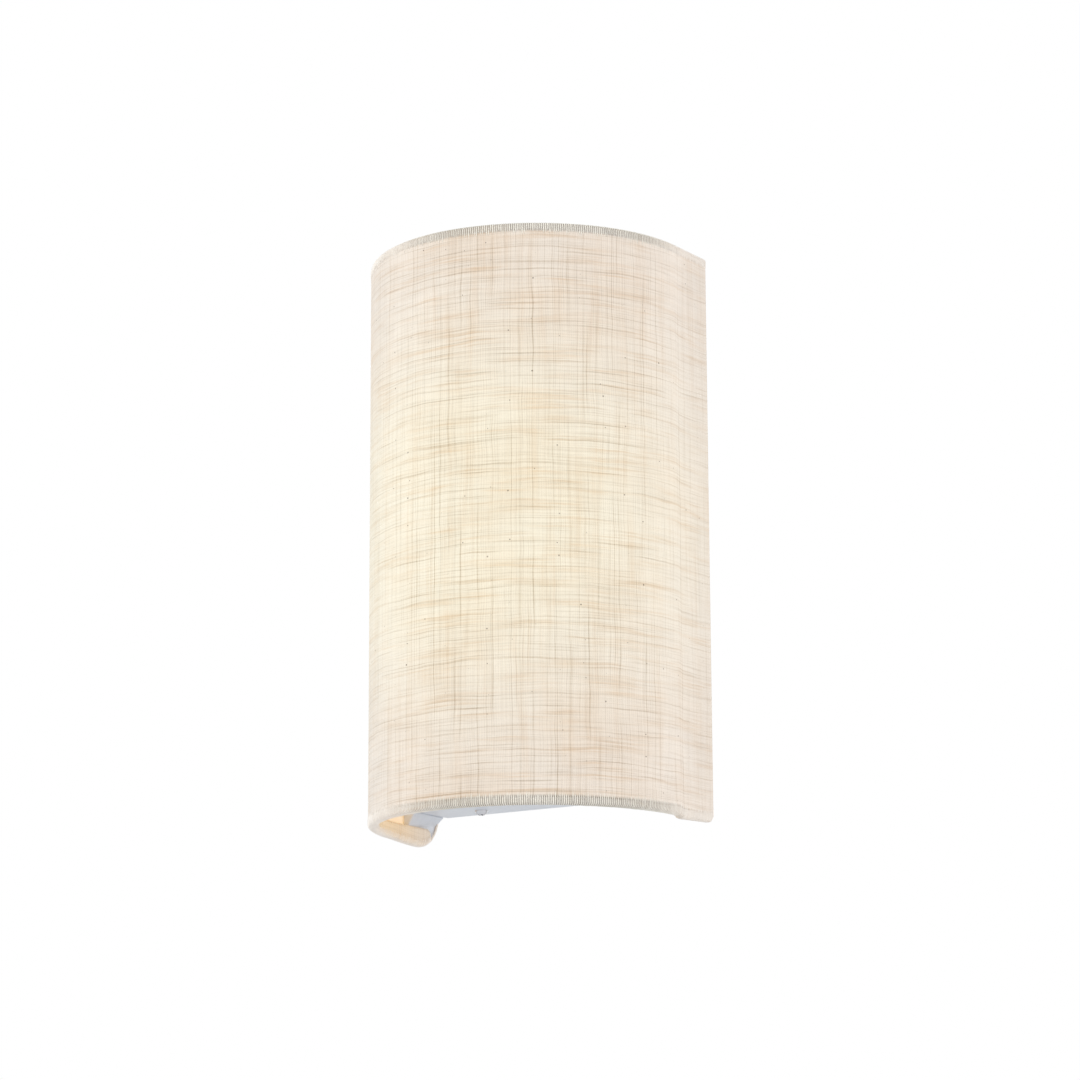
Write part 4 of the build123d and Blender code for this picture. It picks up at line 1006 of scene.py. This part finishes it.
class WALLLIGHT_OT_bulb(bpy.types.Operator):
    """Makes the bulb's threaded cap and finishes its globe, neck, cone and tip"""

    bl_idname = "wall_light.bulb"
    bl_label = "Bulb"

    def execute(self, context):
        lamp = context.scene.wall_light_lamp
        dress("bulb_tip", "bulb_insulator", "bulb_neck", "bulb_globe")
        low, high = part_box("bulb_screw_cap")
        line = [
            (CAP_RADIUS - CAP_TAPER, low.z),
            (CAP_RADIUS, low.z + CAP_EDGE),
            (CAP_RADIUS, high.z - CAP_EDGE),
            (CAP_RADIUS + CAP_FLARE, high.z),
        ]
        start, end = low.z + THREAD_FROM, high.z - THREAD_TO
        cap = turned_thread("bulb_threaded_cap", "nickel", line, start, end, lamp.pitch, lamp.depth)
        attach(cap, "bulb")
        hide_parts("bulb_screw_cap")
        return {"FINISHED"}


class WALLLIGHT_OT_wiring(bpy.types.Operator):
    """Finishes the leads, the grommet, the earth tag and the terminal strip"""

    bl_idname = "wall_light.wiring"
    bl_label = "Wiring"

    def execute(self, context):
        dress("lead_grommet", "lead_live", "lead_neutral")
        dress("earth_lead", "earth_tag", "earth_screw", "earth_nut")
        dress("terminal_body", "terminal_tubes", "terminal_screws", "terminal_fixing_screw")
        return {"FINISHED"}


class WALLLIGHT_OT_stage(bpy.types.Operator):
    """Makes the pale floor, the soft lamps, the white surround and the camera"""

    bl_idname = "wall_light.stage"
    bl_label = "Stage"

    def execute(self, context):
        stage = context.scene.wall_light_stage
        context.scene.view_settings.view_transform = "Standard"
        make_floor(stage.drop)
        make_surround(stage.fill)
        soft_lamp("key", KEY_AT, stage.key, (0.97, 0.98, 0.99))
        soft_lamp("fill", FILL_AT, stage.key * FILL_SHARE, (0.90, 0.92, 0.98))
        soft_lamp("rim", RIM_AT, stage.key * RIM_SHARE, (0.25, 0.55, 1.0))
        make_camera()
        return {"FINISHED"}


class WALLLIGHT_PT_panel(bpy.types.Panel):
    """Lists the wall light's parts and their settings"""

    bl_idname = "WALLLIGHT_PT_panel"
    bl_label = "Wall light"
    bl_space_type = "VIEW_3D"
    bl_region_type = "UI"
    bl_category = "Wall light"

    def draw(self, context):
        for group in GROUPS.values():
            box = self.layout.column()
            settings = getattr(context.scene, group)
            for name in settings.bl_rna.properties.keys():
                if name not in ("rna_type", "name"):
                    box.prop(settings, name)
        for step in STEPS:
            self.layout.operator(step.bl_idname)


GROUPS = {
    WallLightCloth: "wall_light_cloth",
    WallLightMetal: "wall_light_metal",
    WallLightLamp: "wall_light_lamp",
    WallLightStage: "wall_light_stage",
}
STEPS = (
    WALLLIGHT_OT_shade,
    WALLLIGHT_OT_lining,
    WALLLIGHT_OT_frame,
    WALLLIGHT_OT_wall_plate,
    WALLLIGHT_OT_fasteners,
    WALLLIGHT_OT_holder,
    WALLLIGHT_OT_bulb,
    WALLLIGHT_OT_wiring,
    WALLLIGHT_OT_stage,
)


def register():
    for group in (*GROUPS, *STEPS, WALLLIGHT_PT_panel):
        bpy.utils.register_class(group)
    for group, name in GROUPS.items():
        setattr(bpy.types.Scene, name, PointerProperty(type=group))


def unregister():
    for name in GROUPS.values():
        delattr(bpy.types.Scene, name)
    for group in (WALLLIGHT_PT_panel, *STEPS[::-1], *GROUPS):
        bpy.utils.unregister_class(group)


def main():
    register()
    for step in STEPS:
        group, name = step.bl_idname.split(".")
        getattr(getattr(bpy.ops, group), name)()


if __name__ == "__main__":
    main()
